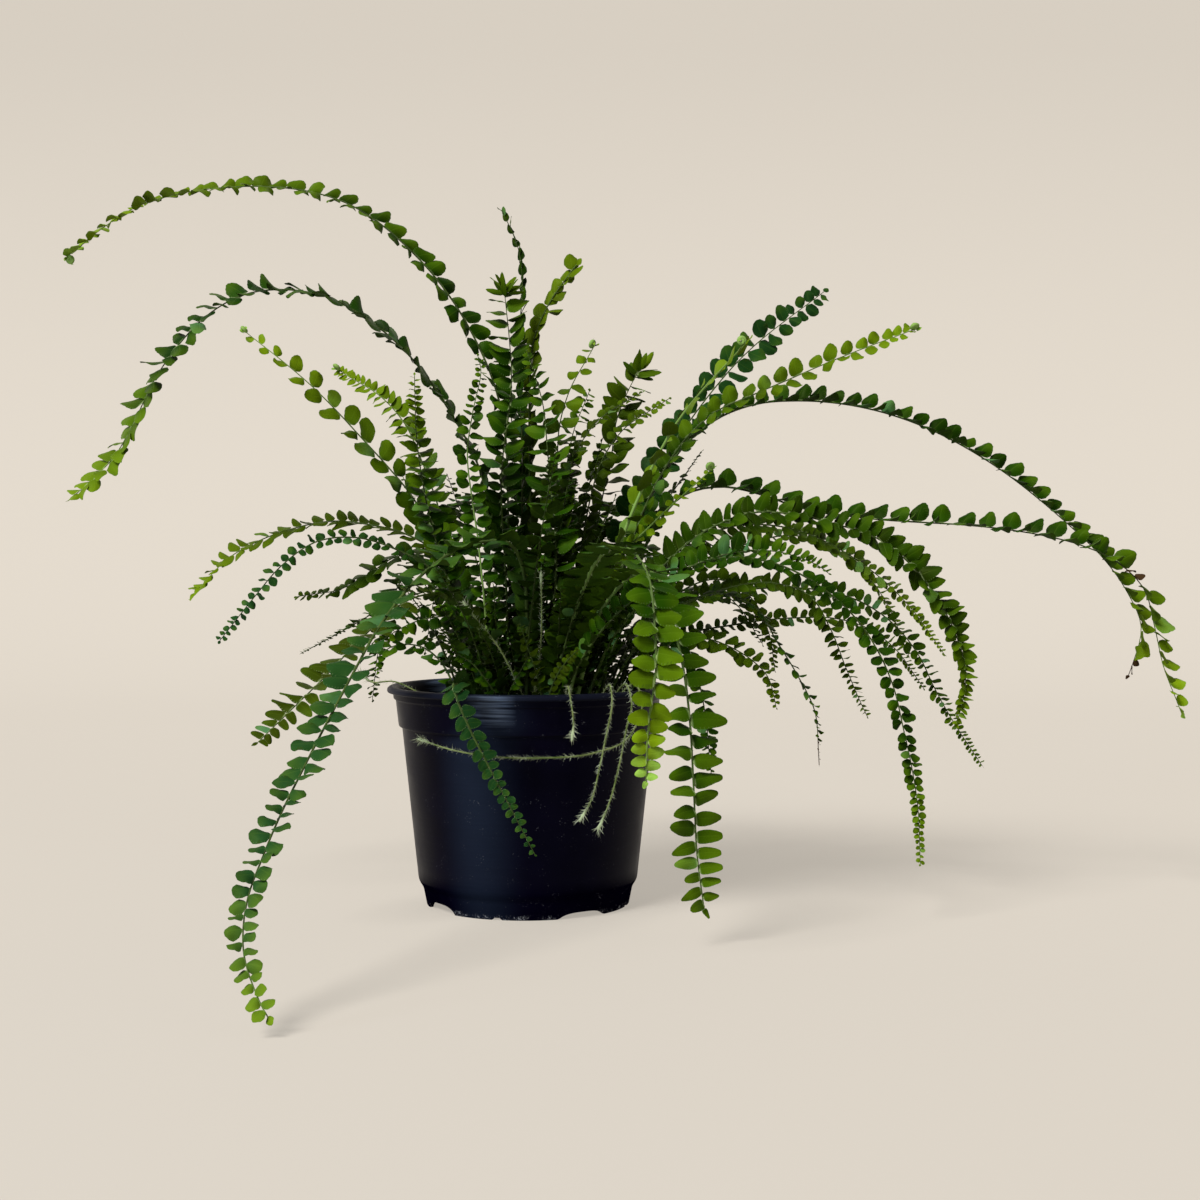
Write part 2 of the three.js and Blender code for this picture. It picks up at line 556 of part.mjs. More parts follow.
    via: [[34, 78, 190], [50, 110, 235], [66, 150, 225], [78, 185, 175], [84, 205, 120]] },
  { name: 'frond_back_left_low', root: [-26, 54], leaf: 11,
    via: [[-42, 74, 170], [-62, 98, 200], [-86, 125, 190], [-104, 150, 150], [-112, 165, 105]] },
  { name: 'frond_back_upright_left', root: [-4, 36], leaf: 12, roll: [30, 30],
    via: [[-8, 48, 220], [-14, 62, 300], [-24, 72, 335]] },
  { name: 'frond_back_upright_right', root: [14, 42], leaf: 12, roll: [30, 30],
    via: [[18, 55, 210], [24, 75, 275], [36, 98, 310]] },
  { name: 'frond_back_right_low', root: [43, 38], leaf: 11,
    via: [[62, 54, 150], [90, 80, 180], [125, 110, 178], [150, 130, 145]] },
];

// Tufts: short young fronds that rise from one root, joined where they leave the soil
const tufts = [
  { name: 'tuft_front_left', root: [-12, -50], members: [
    { leaf: 6, roll: [-40, -50], via: [[-20, -52, 132], [-32, -54, 146], [-44, -54, 152]] },
    { leaf: 6, roll: [20, 20], via: [[-12, -46, 140], [-16, -44, 160], [-22, -44, 178]] },
    { leaf: 5, roll: [80, 60], via: [[-8, -57, 127], [-3, -60, 138], [3, -62, 148]] },
  ] },
  { name: 'tuft_front_middle', root: [11, -50], members: [
    { leaf: 5.5, roll: [-70, -80], pitch: 9, via: [[4, -62, 121], [-8, -67, 123], [-19, -68, 123]] },
    { leaf: 6, roll: [20, 30], via: [[8, -50, 134], [2, -52, 152], [-3, -52, 168]] },
    { leaf: 6, roll: [90, 80], via: [[16, -54, 132], [24, -60, 146], [31, -64, 152]] },
  ] },
  { name: 'tuft_middle_right', root: [29, -11], members: [
    { leaf: 6, roll: [10, 40], via: [[36, -16, 138], [46, -21, 150], [57, -24, 155]] },
    { leaf: 6, roll: [60, 60], via: [[30, -8, 140], [34, -8, 162], [40, -10, 182]] },
  ] },
];

const strands = fronds.map((frond) => ({ ...frond, node: frond.name }));
for (const tuft of tufts) {
  tuft.members.forEach((member, i) => {
    const own = { root: tuft.root, node: tuft.name, name: `${tuft.name} ${i + 1}`, branches: i > 0 };
    strands.push({ pitch: tuftPitch, bare: tuftBare, ...member, ...own });
  });
}

const pot = potGeometry();
const soil = soilGeometry([
  ...[...fronds, ...tufts].map(({ root }) => ({ root, radius: stemHoleRadius })),
  ...runners.map(({ root }) => ({ root, radius: runnerHoleRadius })),
]);
addMesh('pot', pot, potMaterial);
addMesh('soil', soil, soilMaterial);

const fixed = [{ name: 'pot', solid: solidOf(pot) }, { name: 'soil', solid: solidOf(soil) }];
for (const { name, root, branches } of runners) {
  let solid = solidOf(runnerGeometry(root, branches[0]));
  branches.slice(1).forEach((via) => {
    solid = solid.add(solidOf(runnerGeometry(root, via, true)));
  });
  addMesh(name, geometryOf(solid), runnerMaterial);
  fixed.push({ name, solid });
}

const layouts = strands.map(frondStations);
const stems = strands.map((strand, i) => {
  const bareTrims = new Array(layouts[i].pairs * 2).fill(0);
  const solid = solidOf(frondGeometry(strand, layouts[i], bareTrims, clearance));
  return { name: strand.name, node: strand.node, solid };
});
const grown = [];
strands.forEach((strand, i) => {
  const others = [...grown, ...stems.slice(i + 1)].filter(({ node }) => node !== strand.node);
  const trims = trimLeaflets(strand, layouts[i], [...fixed, ...others]);
  const solid = solidOf(frondGeometry(strand, layouts[i], trims));
  grown.push({ name: strand.name, node: strand.node, color: strand.color ?? green, solid });
});
for (const node of new Set(strands.map((strand) => strand.node))) {
  const parts = grown.filter((part) => part.node === node);
  const solid = parts.slice(1).reduce((whole, part) => whole.add(part.solid), parts[0].solid);
  const material = new THREE.MeshStandardMaterial({ color: parts[0].color, roughness: 0.5, metalness: 0 });
  addMesh(node, geometryOf(solid), material);
}

export default group;
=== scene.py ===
# Lemon button fern in a black nursery pot: the looks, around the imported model.
import heapq
import json
import math

import bmesh
import bpy
import numpy as np
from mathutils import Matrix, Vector, noise

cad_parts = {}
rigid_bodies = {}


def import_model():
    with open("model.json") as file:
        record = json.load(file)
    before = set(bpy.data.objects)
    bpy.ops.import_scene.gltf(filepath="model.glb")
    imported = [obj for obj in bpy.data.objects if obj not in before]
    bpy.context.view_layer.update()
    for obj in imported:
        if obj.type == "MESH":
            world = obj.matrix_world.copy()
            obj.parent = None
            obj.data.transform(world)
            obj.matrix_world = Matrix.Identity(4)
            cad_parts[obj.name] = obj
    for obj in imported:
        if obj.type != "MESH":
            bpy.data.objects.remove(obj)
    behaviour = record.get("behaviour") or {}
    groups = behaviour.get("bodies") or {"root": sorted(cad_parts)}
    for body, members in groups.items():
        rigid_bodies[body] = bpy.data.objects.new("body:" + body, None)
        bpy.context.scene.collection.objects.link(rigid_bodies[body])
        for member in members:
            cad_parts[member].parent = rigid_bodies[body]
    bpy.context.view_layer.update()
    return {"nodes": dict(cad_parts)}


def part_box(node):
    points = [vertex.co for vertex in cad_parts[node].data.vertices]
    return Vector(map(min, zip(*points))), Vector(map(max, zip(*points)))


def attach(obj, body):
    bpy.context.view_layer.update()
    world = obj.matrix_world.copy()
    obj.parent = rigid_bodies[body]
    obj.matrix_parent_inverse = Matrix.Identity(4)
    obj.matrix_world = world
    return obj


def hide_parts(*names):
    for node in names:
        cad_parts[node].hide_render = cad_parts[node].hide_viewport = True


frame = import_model()
scene = bpy.context.scene
millimetre = 0.001
lightFrom = np.array((-0.42, -0.55, 0.72))


# Small helpers for objects, meshes and node trees

def linked(name, data):
    obj = bpy.data.objects.new(name, data)
    scene.collection.objects.link(obj)
    return obj


def meshFrom(name, vertices, edges=(), faces=()):
    mesh = bpy.data.meshes.new(name)
    mesh.from_pydata([tuple(v) for v in vertices], list(edges), list(faces))
    mesh.polygons.foreach_set("use_smooth", [True] * len(mesh.polygons))
    return mesh


def setAttribute(mesh, name, values, domain="POINT"):
    values = np.asarray(values, np.float32)
    isVector = values.ndim == 2
    attribute = mesh.attributes.new(name, "FLOAT_VECTOR" if isVector else "FLOAT", domain)
    attribute.data.foreach_set("vector" if isVector else "value", values.ravel())


def place(tree, kind, inputs=None, **settings):
    node = tree.nodes.new(kind)
    for key, value in settings.items():
        setattr(node, key, value)
    for key, value in (inputs or {}).items():
        socket = node.inputs[key]
        if isinstance(value, bpy.types.NodeSocket):
            tree.links.new(value, socket)
        else:
            socket.default_value = value
    return node


def maths(tree, operation, a, b=0.0):
    return place(tree, "ShaderNodeMath", {0: a, 1: b}, operation=operation).outputs[0]


def plus(tree, total, *others):
    for other in others:
        total = maths(tree, "ADD", total, other)
    return total


def times(tree, product, *others):
    for other in others:
        product = maths(tree, "MULTIPLY", product, other)
    return product


def minus(tree, a, b):
    return maths(tree, "SUBTRACT", a, b)


def scaled(tree, vector, factor):
    return place(tree, "ShaderNodeVectorMath", {0: vector, "Scale": factor}, operation="SCALE").outputs[0]


def vectorMaths(tree, operation, a, b):
    return place(tree, "ShaderNodeVectorMath", {0: a, 1: b}, operation=operation).outputs[0]


def addSockets(tree, way, labels):
    for kind, names in labels.items():
        for name in names:
            tree.interface.new_socket(name, in_out=way, socket_type="NodeSocket" + kind)
    node = tree.nodes.new("NodeGroupInput" if way == "INPUT" else "NodeGroupOutput")
    return node.outputs if way == "INPUT" else node.inputs


def geometryTree(name, labels):
    tree = bpy.data.node_groups.new(name, "GeometryNodeTree")
    given = addSockets(tree, "INPUT", {"Geometry": ("Geometry",), **labels})
    return tree, given, addSockets(tree, "OUTPUT", {"Geometry": ("Geometry",)})


# Runs a tree on a guide mesh and keeps the result as a plain mesh
def grown(name, guide, tree, values):
    holder = linked(name + "_guide", guide)
    modifier = holder.modifiers.new("grow", "NODES")
    modifier.node_group = tree
    for item in tree.interface.items_tree:
        if item.item_type == "SOCKET" and item.in_out == "INPUT" and item.name in values:
            modifier[item.identifier] = values[item.name]
    depsgraph = bpy.context.evaluated_depsgraph_get()
    result = holder.evaluated_get(depsgraph)
    mesh = bpy.data.meshes.new_from_object(result, preserve_all_data_layers=True, depsgraph=depsgraph)
    bpy.data.objects.remove(holder)
    mesh.name = name
    return linked(name, mesh)


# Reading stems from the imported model: each frond's centre line, the way its blade faces, and its leaf size

reading = {
    "weld": 0.00001,         # corners closer than this are one
    "stationGap": 0.0025,    # two places on a stem closer than this are one station
    "corners": 4,            # corners of a packed stem's cross section
    "memberSpread": 0.011,   # how far a short frond's own leaflets reach from its stem
    "step": 0.001,           # spacing of the smooth path
    "stemReach": 0.0016,     # what lies nearer to the path than this is stem, not leaflet
    "longest": 96,           # percentile of the blade's reach that counts as its leaflets' length
    "footZ": 0.1023,         # height of every stem's foot, in the soil
    "footBand": 0.0002,      # how far from that height a foot may be
    "flatFold": 0.35,        # a blade folded less than this, in radians, turns its upper side to the light
}


def nodeGraph(name):
    mesh = frame["nodes"][name].data
    corners = np.empty(len(mesh.vertices) * 3)
    mesh.vertices.foreach_get("co", corners)
    keys = np.round(corners.reshape(-1, 3) / reading["weld"]).astype(np.int64)
    unique, same = np.unique(keys, axis=0, return_inverse=True)
    same = same.ravel()
    links = [set() for _ in unique]
    for edge in mesh.edges:
        a, b = same[edge.vertices[0]], same[edge.vertices[1]]
        if a != b:
            links[a].add(b)
            links[b].add(a)
    return unique * reading["weld"], links


# How far each corner is from the start along the mesh's edges, and the corner that leads to it
def walk(points, links, start):
    reach = np.full(len(points), np.inf)
    cameFrom = np.full(len(points), -1)
    reach[start] = 0
    queue = [(0.0, start)]
    while queue:
        far, here = heapq.heappop(queue)
        if far > reach[here]:
            continue
        for other in links[here]:
            through = far + np.linalg.norm(points[other] - points[here])
            if through < reach[other]:
                reach[other] = through
                cameFrom[other] = here
                heapq.heappush(queue, (through, other))
    return reach, cameFrom


# A centripetal spline through the knots, and where in it each knot is
def smoothPath(knots, step):
    ends = np.vstack([2 * knots[0] - knots[1], knots, 2 * knots[-1] - knots[-2]])
    pieces, marks, count = [], [], 0
    for a, b, c, d in zip(ends[:-3], ends[1:-2], ends[2:-1], ends[3:]):
        t1 = np.linalg.norm(b - a) ** 0.5
        t2 = t1 + np.linalg.norm(c - b) ** 0.5
        t3 = t2 + np.linalg.norm(d - c) ** 0.5
        t = np.linspace(t1, t2, max(3, int(np.linalg.norm(c - b) / step)), endpoint=False)[:, None]
        ab = ((t1 - t) * a + t * b) / t1
        bc = ((t2 - t) * b + (t - t1) * c) / (t2 - t1)
        cd = ((t3 - t) * c + (t - t2) * d) / (t3 - t2)
        abc = ((t2 - t) * ab + t * bc) / t2
        bcd = ((t3 - t) * bc + (t - t1) * cd) / (t3 - t1)
        pieces.append(((t2 - t) * abc + (t - t1) * bcd) / (t2 - t1))
        marks.append(count)
        count += len(t)
    pieces.append(knots[-1:])
    marks.append(count)
    return np.vstack(pieces), np.array(marks)


def unit(vectors):
    return vectors / np.maximum(np.linalg.norm(vectors, axis=-1, keepdims=True), 1e-12)


def arcLengths(path):
    return np.concatenate([[0], np.cumsum(np.linalg.norm(np.diff(path, axis=0), axis=1))])


# Each value's three parts, read between the marks
def between(at, marks, values):
    return np.stack([np.interp(at, marks, values[:, k]) for k in range(3)], axis=1)


def stationsOn(points, route):
    centres, corners = [], []
    for index in route:
        here = points[index]
        if centres and np.linalg.norm(here - centres[-1]) < reading["stationGap"]:
            continue
        nearest = np.argsort(np.linalg.norm(points - here, axis=1))[:reading["corners"]]
        centres.append(points[nearest].mean(axis=0))
        corners.append(points[nearest])
    return np.array(centres), corners


def stemFrom(points, route):
    knots, corners = stationsOn(points, route)
    path, marks = smoothPath(knots, reading["step"])
    along = unit(np.gradient(path, axis=0))
    sides = []
    for mark, centre, corner in zip(marks, knots, corners):
        offsets = corner - centre
        offsets = offsets - np.outer(offsets @ along[mark], along[mark])
        side = np.linalg.svd(offsets)[2][0]
        if sides and side @ sides[-1] < 0:
            side = -side
        sides.append(side)
    side = between(np.arange(len(path)), marks, np.array(sides))
    side = unit(side - (side * along).sum(axis=1, keepdims=True) * along)
    return {"path": path, "along": along, "side": side, "arc": arcLengths(path)}


# The leaflets of a packed frond tell how long they are, where the blade starts and how steeply they fold
def measureBlade(stem, points):
    gaps = np.linalg.norm(points[:, None] - stem["path"][None], axis=2)
    nearest = gaps.argmin(axis=1)
    far = gaps.min(axis=1) > reading["stemReach"]
    offset = points[far] - stem["path"][nearest[far]]
    normal = np.cross(stem["along"], stem["side"])[nearest[far]]
    lift = (offset * normal).sum(axis=1)
    if lift.sum() < 0:
        stem["side"] = -stem["side"]
        lift = -lift
    reach = np.abs((offset * stem["side"][nearest[far]]).sum(axis=1))
    stem["leaf"] = np.percentile(np.hypot(reach, lift), reading["longest"])
    stem["fold"] = math.atan2(np.median(lift), np.median(reach))
    stem["start"] = stem["arc"][nearest[far]].min()
    upper = np.cross(stem["along"], stem["side"])[len(stem["path"]) // 3:]
    if stem["fold"] < reading["flatFold"] and (upper @ lightFrom).mean() < 0:
        stem["side"] = -stem["side"]


def footOf(points):
    away = np.hypot(points[:, 0], points[:, 1])
    away[np.abs(points[:, 2] - reading["footZ"]) > reading["footBand"]] = np.inf
    return int(away.argmin())


def stemsOf(name, members):
    points, links = nodeGraph(name)
    reach, cameFrom = walk(points, links, footOf(points))
    reach[np.isinf(reach)] = -1
    owner = np.full(len(points), -1)
    stems = []
    for member in range(members):
        tip = int(np.where(owner < 0, reach, -1).argmax())
        route = [tip]
        while cameFrom[route[-1]] >= 0:
            route.append(int(cameFrom[route[-1]]))
        stem = stemFrom(points, route[::-1])
        gaps = np.linalg.norm(points[:, None] - stem["path"][None], axis=2).min(axis=1)
        owner[(owner < 0) & (gaps < reading["memberSpread"])] = member
        stems.append(stem)
    for member, stem in enumerate(stems):
        measureBlade(stem, points if members == 1 else points[owner == member])
    return stems


# Leaflets: a cupped blade with a scalloped rim, upper and under faces closed at the rim, one unit long.
# Distal and proximal are the half widths towards the frond's tip and foot, and the peaks are where they lie.

leafletSizes = ("distal", "proximal", "distalPeak", "proximalPeak", "blunt", "base", "sickle", "columns",
                "scallop", "thick", "variants")
leafletRows = {
    "button": (0.52, 0.37, 0.45, 0.54, 0.52, 0.5, 0.12, 11, 0.014, 0.03, 8),
    "shell": (0.52, 0.44, 0.42, 0.40, 0.46, 0.75, 0.16, 12, 0.012, 0.03, 8),
    "fin": (0.58, 0.56, 0.38, 0.42, 0.48, 0.8, -0.26, 12, 0.012, 0.03, 8),
    "oval": (0.33, 0.26, 0.42, 0.54, 0.36, 0.6, 0.14, 10, 0.010, 0.025, 7),
    "oblong": (0.28, 0.22, 0.27, 0.36, 0.42, 0.9, 0.09, 13, 0.006, 0.022, 6),
    "broad": (0.46, 0.37, 0.34, 0.42, 0.48, 0.95, 0.08, 14, 0.022, 0.022, 6),
    "strap": (0.39, 0.34, 0.31, 0.38, 0.46, 1.0, 0.10, 14, 0.016, 0.022, 7),
    "wing": (0.40, 0.31, 0.26, 0.34, 0.52, 1.0, 0.12, 14, 0.014, 0.022, 7),
    "wedge": (0.42, 0.22, 0.36, 0.45, 0.66, 0.6, 0.26, 10, 0.010, 0.03, 8),
    "lobe": (0.17, 0.15, 0.42, 0.46, 0.66, 0.7, 0.22, 9, 0.02, 0.02, 6),
    "bud": (0.48, 0.34, 0.45, 0.52, 0.52, 0.5, 0.12, 6, 0.0, 0.04, 4),
}
leafletKinds = {title: dict(zip(leafletSizes, row)) for title, row in leafletRows.items()}
bladeShape = {
    "across": (-1.0, -0.55, 0.0, 0.55, 1.0),    # where the blade's rows of corners run, rim to rim
    "widening": 3.6,         # how fast the foot of the blade widens
    "cupPower": 1.6,
    "waves": 6.3,            # turn of the wave along the blade, radians
    "keel": 0.02,            # how far the midrib is sunk
}
bladeBends = {               # what a variant is bent by, between these two values
    "cup": (-0.55, 0.0), "wave": (0.08, 0.28), "phase": (0, 6.3), "droop": (-0.02, 0.25),
    "twist": (-0.35, 0.35), "point": (-0.08, 0.10), "sickle": (0.2, 1.8),
}


def halfWidth(x, peak, blunt, base):
    power = math.log(0.5) / math.log(peak)
    foot = min(1.0, base + bladeShape["widening"] * x)
    return foot * max(0.0, math.sin(math.pi * x ** power)) ** blunt


def leafletPoint(kind, bend, x, v):
    side = "distal" if v > 0 else "proximal"
    half = kind[side] * halfWidth(x, kind[side + "Peak"], kind["blunt"] + bend["point"], kind["base"])
    y = v * half + kind["sickle"] * bend["sickle"] * x * x
    cup = bend["cup"] * (abs(v) ** bladeShape["cupPower"]) * half
    wave = bend["wave"] * math.sin(bladeShape["waves"] * x + bend["phase"]) * v * abs(v) * half
    z = cup + wave - bend["droop"] * x * x + bladeShape["keel"] * abs(v) ** 0.5
    turn = bend["twist"] * x
    return Vector((x, y * math.cos(turn) - z * math.sin(turn), y * math.sin(turn) + z * math.cos(turn)))


def leafletMesh(name, kind, bend, hand):
    columns, across = kind["columns"], bladeShape["across"]
    steps = [(1 - math.cos(math.pi * i / columns)) / 2 for i in range(columns + 1)]
    sheet = bmesh.new()
    places, underFaces = {}, set()

    def vertex(i, v, under=False):
        point = leafletPoint(kind, bend, steps[i], v)
        if abs(v) == 1 and 1 < i < columns:
            outward = 1 + kind["scallop"] * (2 if i % 2 else -1)
            point = Vector((0.5 + (point.x - 0.5) * outward, point.y * outward, point.z))
        if under:
            point.z -= kind["thick"]
        made = sheet.verts.new((point.x, point.y * hand, point.z))
        places[made] = (steps[i], v)
        return made

    def face(corners, under=False, flip=False):
        turnOver = ((hand < 0) != under) != flip
        made = sheet.faces.new(corners[::-1] if turnOver else corners)
        made.smooth = True
        if under:
            underFaces.add(made)

    base, tip = vertex(0, 0.0), vertex(columns, 0.0)
    upper = [[vertex(i, v) for v in across] for i in range(1, columns)]
    lower = [vertex(i, 0.0, True) for i in range(1, columns)]
    for k in range(len(across) - 1):
        face([base, upper[0][k], upper[0][k + 1]])
        face([tip, upper[-1][k + 1], upper[-1][k]])
        for near, far in zip(upper[:-1], upper[1:]):
            face([near[k], far[k], far[k + 1], near[k + 1]])
    for rim, flip in ((0, False), (-1, True)):
        for i in range(len(upper) - 1):
            face([upper[i][rim], upper[i + 1][rim], lower[i + 1], lower[i]], True, flip)
        face([base, upper[0][rim], lower[0]], True, flip)
        face([tip, lower[-1], upper[-1][rim]], True, flip)
    for edge in sheet.edges:
        edge.smooth = len({f in underFaces for f in edge.link_faces}) == 1
    layer = sheet.loops.layers.uv.new("leafMap")
    for made in sheet.faces:
        for loop in made.loops:
            x, v = places[loop.vert]
            loop[layer].uv = (x, 0.5 + 0.5 * v)
    edgeValues = [abs(places[v][1]) for v in sheet.verts]
    underValues = [float(f in underFaces) for f in sheet.faces]
    mesh = bpy.data.meshes.new(name)
    sheet.to_mesh(mesh)
    sheet.free()
    setAttribute(mesh, "edge", edgeValues)
    setAttribute(mesh, "under", underValues, "FACE")
    return mesh


def newCollection(name):
    collection = bpy.data.collections.new(name)
    scene.collection.children.link(collection)
    return collection


def leafletCollection(title, kind):
    rng = np.random.default_rng(len(title) * 7 + kind["columns"])
    collection = newCollection("leaflets_" + title)
    for variant in range(kind["variants"]):
        bend = {key: rng.uniform(*span) for key, span in bladeBends.items()}
        for order, hand in enumerate((-1, 1)):
            name = f"{title}_{variant}_{order}"
            collection.objects.link(bpy.data.objects.new(name, leafletMesh(name, kind, bend, hand)))
    return collection


leaflets = {title: leafletCollection(title, kind) for title, kind in leafletKinds.items()}


# Materials

def newMaterial(name, constants):
    material = bpy.data.materials.new(name)
    material.use_nodes = True
    tree = material.node_tree
    shader = tree.nodes["Principled BSDF"].inputs
    for label, value in constants.items():
        shader[label].default_value = value
    return material, tree, shader


def attributeOf(tree, name):
    return place(tree, "ShaderNodeAttribute", attribute_name=name).outputs["Fac"]


def objectPlace(tree):
    return place(tree, "ShaderNodeTexCoord").outputs["Object"]


def noiseOf(tree, where, scale, detail):
    return place(tree, "ShaderNodeTexNoise", {"Vector": where, "Scale": scale, "Detail": detail}).outputs[0]


def blend(tree, factor, a, b):
    return place(tree, "ShaderNodeMix", {0: factor, 6: a, 7: b}, data_type="RGBA").outputs[2]


# Lays colours over each other, each where its mask is
def layered(tree, colour, *layers):
    for mask, over in layers:
        colour = blend(tree, mask, colour, over)
    return colour


def ranged(tree, value, low, high, toLow=0.0, toHigh=1.0):
    inputs = {0: value, 1: low, 2: high, 3: toLow, 4: toHigh}
    return place(tree, "ShaderNodeMapRange", inputs).outputs[0]


# Moves with a value that goes from 0 to 1, equally far up and down
def swing(tree, value, amount):
    return times(tree, minus(tree, value, 0.5), amount)


def addBump(tree, shader, height, strength, depth):
    bump = place(tree, "ShaderNodeBump", {"Height": height, "Strength": strength, "Distance": depth})
    tree.links.new(bump.outputs[0], shader["Normal"])


def speckleGroup():
    tree = bpy.data.node_groups.new("speckle", "ShaderNodeTree")
    given = addSockets(tree, "INPUT", {"Vector": ("Vector",), "Float": ("Scale", "Amount")})
    out = addSockets(tree, "OUTPUT", {"Float": ("Mask", "Cloud")})
    cloud = noiseOf(tree, given["Vector"], times(tree, given["Scale"], 0.12), 5.0)
    fine = noiseOf(tree, given["Vector"], given["Scale"], 3.0)
    joined = plus(tree, times(tree, fine, 0.65), times(tree, cloud, 0.35))
    low = minus(tree, 0.72, times(tree, given["Amount"], 0.2))
    tree.links.new(ranged(tree, joined, low, plus(tree, low, 0.04)), out["Mask"])
    tree.links.new(cloud, out["Cloud"])
    return tree


speckle = speckleGroup()


def speckles(tree, scale, amount):
    inputs = {"Vector": objectPlace(tree), "Scale": scale, "Amount": amount}
    out = place(tree, "ShaderNodeGroup", inputs, node_tree=speckle).outputs
    return out["Mask"], out["Cloud"]


leafLook = {
    "deep": (0.0030, 0.0125, 0.0003, 1), "mid": (0.0082, 0.0335, 0.0003, 1),
    "bright": (0.026, 0.068, 0.0012, 1), "lime": (0.122, 0.195, 0.003, 1),
    "fresh": (0.21, 0.37, 0.055, 1), "olive": (0.030, 0.042, 0.0008, 1),
    "cool": (0.009, 0.046, 0.0125, 1), "sheen": (0.060, 0.170, 0.075, 1), "under": (0.020, 0.038, 0.004, 1),
    "pale": (0.42, 0.52, 0.24, 1), "veinGreen": (0.22, 0.36, 0.03, 1), "brown": (0.035, 0.018, 0.008, 1),
    "gloss": (0.60, 0.80, 0.20, 1),
    "specular": 0.05,
    "veins": 11.0,           # pairs of side veins in a leaflet
    "dots": 9.0,             # pale dots along each margin
    "patches": 55.0,         # scale of the lighter and darker patches
    "bump": (0.3, 0.0003),   # strength and depth of the relief
}


def leafMaterial():
    look = leafLook
    material, tree, shader = newMaterial("fernLeaf", {
        "Specular IOR Level": look["specular"], "Specular Tint": look["gloss"]})
    uv = place(tree, "ShaderNodeUVMap", uv_map="leafMap").outputs[0]
    split = place(tree, "ShaderNodeSeparateXYZ", {0: uv}).outputs
    names = ("edge", "under", "young", "wither", "shade", "tint", "cool", "olive", "dotted")
    edge, under, young, wither, shade, tint, cool, olive, dotted = (attributeOf(tree, n) for n in names)
    patch = noiseOf(tree, objectPlace(tree), look["patches"], 3.0)

    across = maths(tree, "ABSOLUTE", minus(tree, split["Y"], 0.5))
    ribs = plus(tree, split["X"], times(tree, across, -0.9))
    ribs = maths(tree, "SINE", times(tree, ribs, look["veins"] * 2 * math.pi))
    sideVein = times(tree, ranged(tree, ribs, 0.72, 1.0), 0.5)
    vein = maths(tree, "MAXIMUM", sideVein, ranged(tree, across, 0.05, 0.0))
    beads = maths(tree, "SINE", times(tree, split["X"], look["dots"] * 2 * math.pi))
    margin = times(tree, ranged(tree, edge, 0.80, 0.86), ranged(tree, edge, 0.95, 0.89))
    dots = times(tree, ranged(tree, beads, 0.7, 0.95), margin, minus(tree, 1.0, under), dotted)

    lift = plus(tree, swing(tree, tint, 0.75), shade, swing(tree, patch, 0.5),
                ranged(tree, split["X"], 0.1, 0.8, -0.12, 0.12),
                ranged(tree, split["Y"], 0.42, 0.58, -0.06, 0.06))
    newness = plus(tree, young, swing(tree, tint, 0.18),
                   ranged(tree, split["X"], 0.1, 0.8, -0.07, 0.07))
    # Painted sheen: a few leaflets turned lighter bluish green, standing in for their gloss
    sheen = times(tree, ranged(tree, tint, 0.94, 0.98), ranged(tree, patch, 0.4, 0.6, 0.15, 0.7))
    underside = times(tree, under, ranged(tree, newness, 0.2, 0.9, 0.5, 0.1))
    withered = ranged(tree, plus(tree, wither, times(tree, patch, 0.3)), 0.35, 0.75)
    colour = layered(
        tree, look["deep"], (ranged(tree, lift, 0.0, 0.5), look["mid"]),
        (ranged(tree, lift, 0.5, 1.0), look["bright"]), (cool, look["cool"]), (olive, look["olive"]),
        (sheen, look["sheen"]), (ranged(tree, newness, 0.06, 1.0), look["lime"]),
        (ranged(tree, newness, 1.0, 1.5), look["fresh"]), (underside, look["under"]),
        (times(tree, vein, 0.05), look["veinGreen"]),
        (ranged(tree, split["X"], 0.09, 0.0, 0.0, 0.5), look["pale"]), (dots, look["pale"]),
        (withered, look["brown"]))
    tree.links.new(colour, shader["Base Color"])
    rough = plus(tree, times(tree, under, 0.2), ranged(tree, patch, 0.3, 0.7, 0.36, 0.5),
                 times(tree, wither, 0.3))
    tree.links.new(rough, shader["Roughness"])
    addBump(tree, shader, minus(tree, times(tree, patch, 0.6), vein), *look["bump"])
    return material


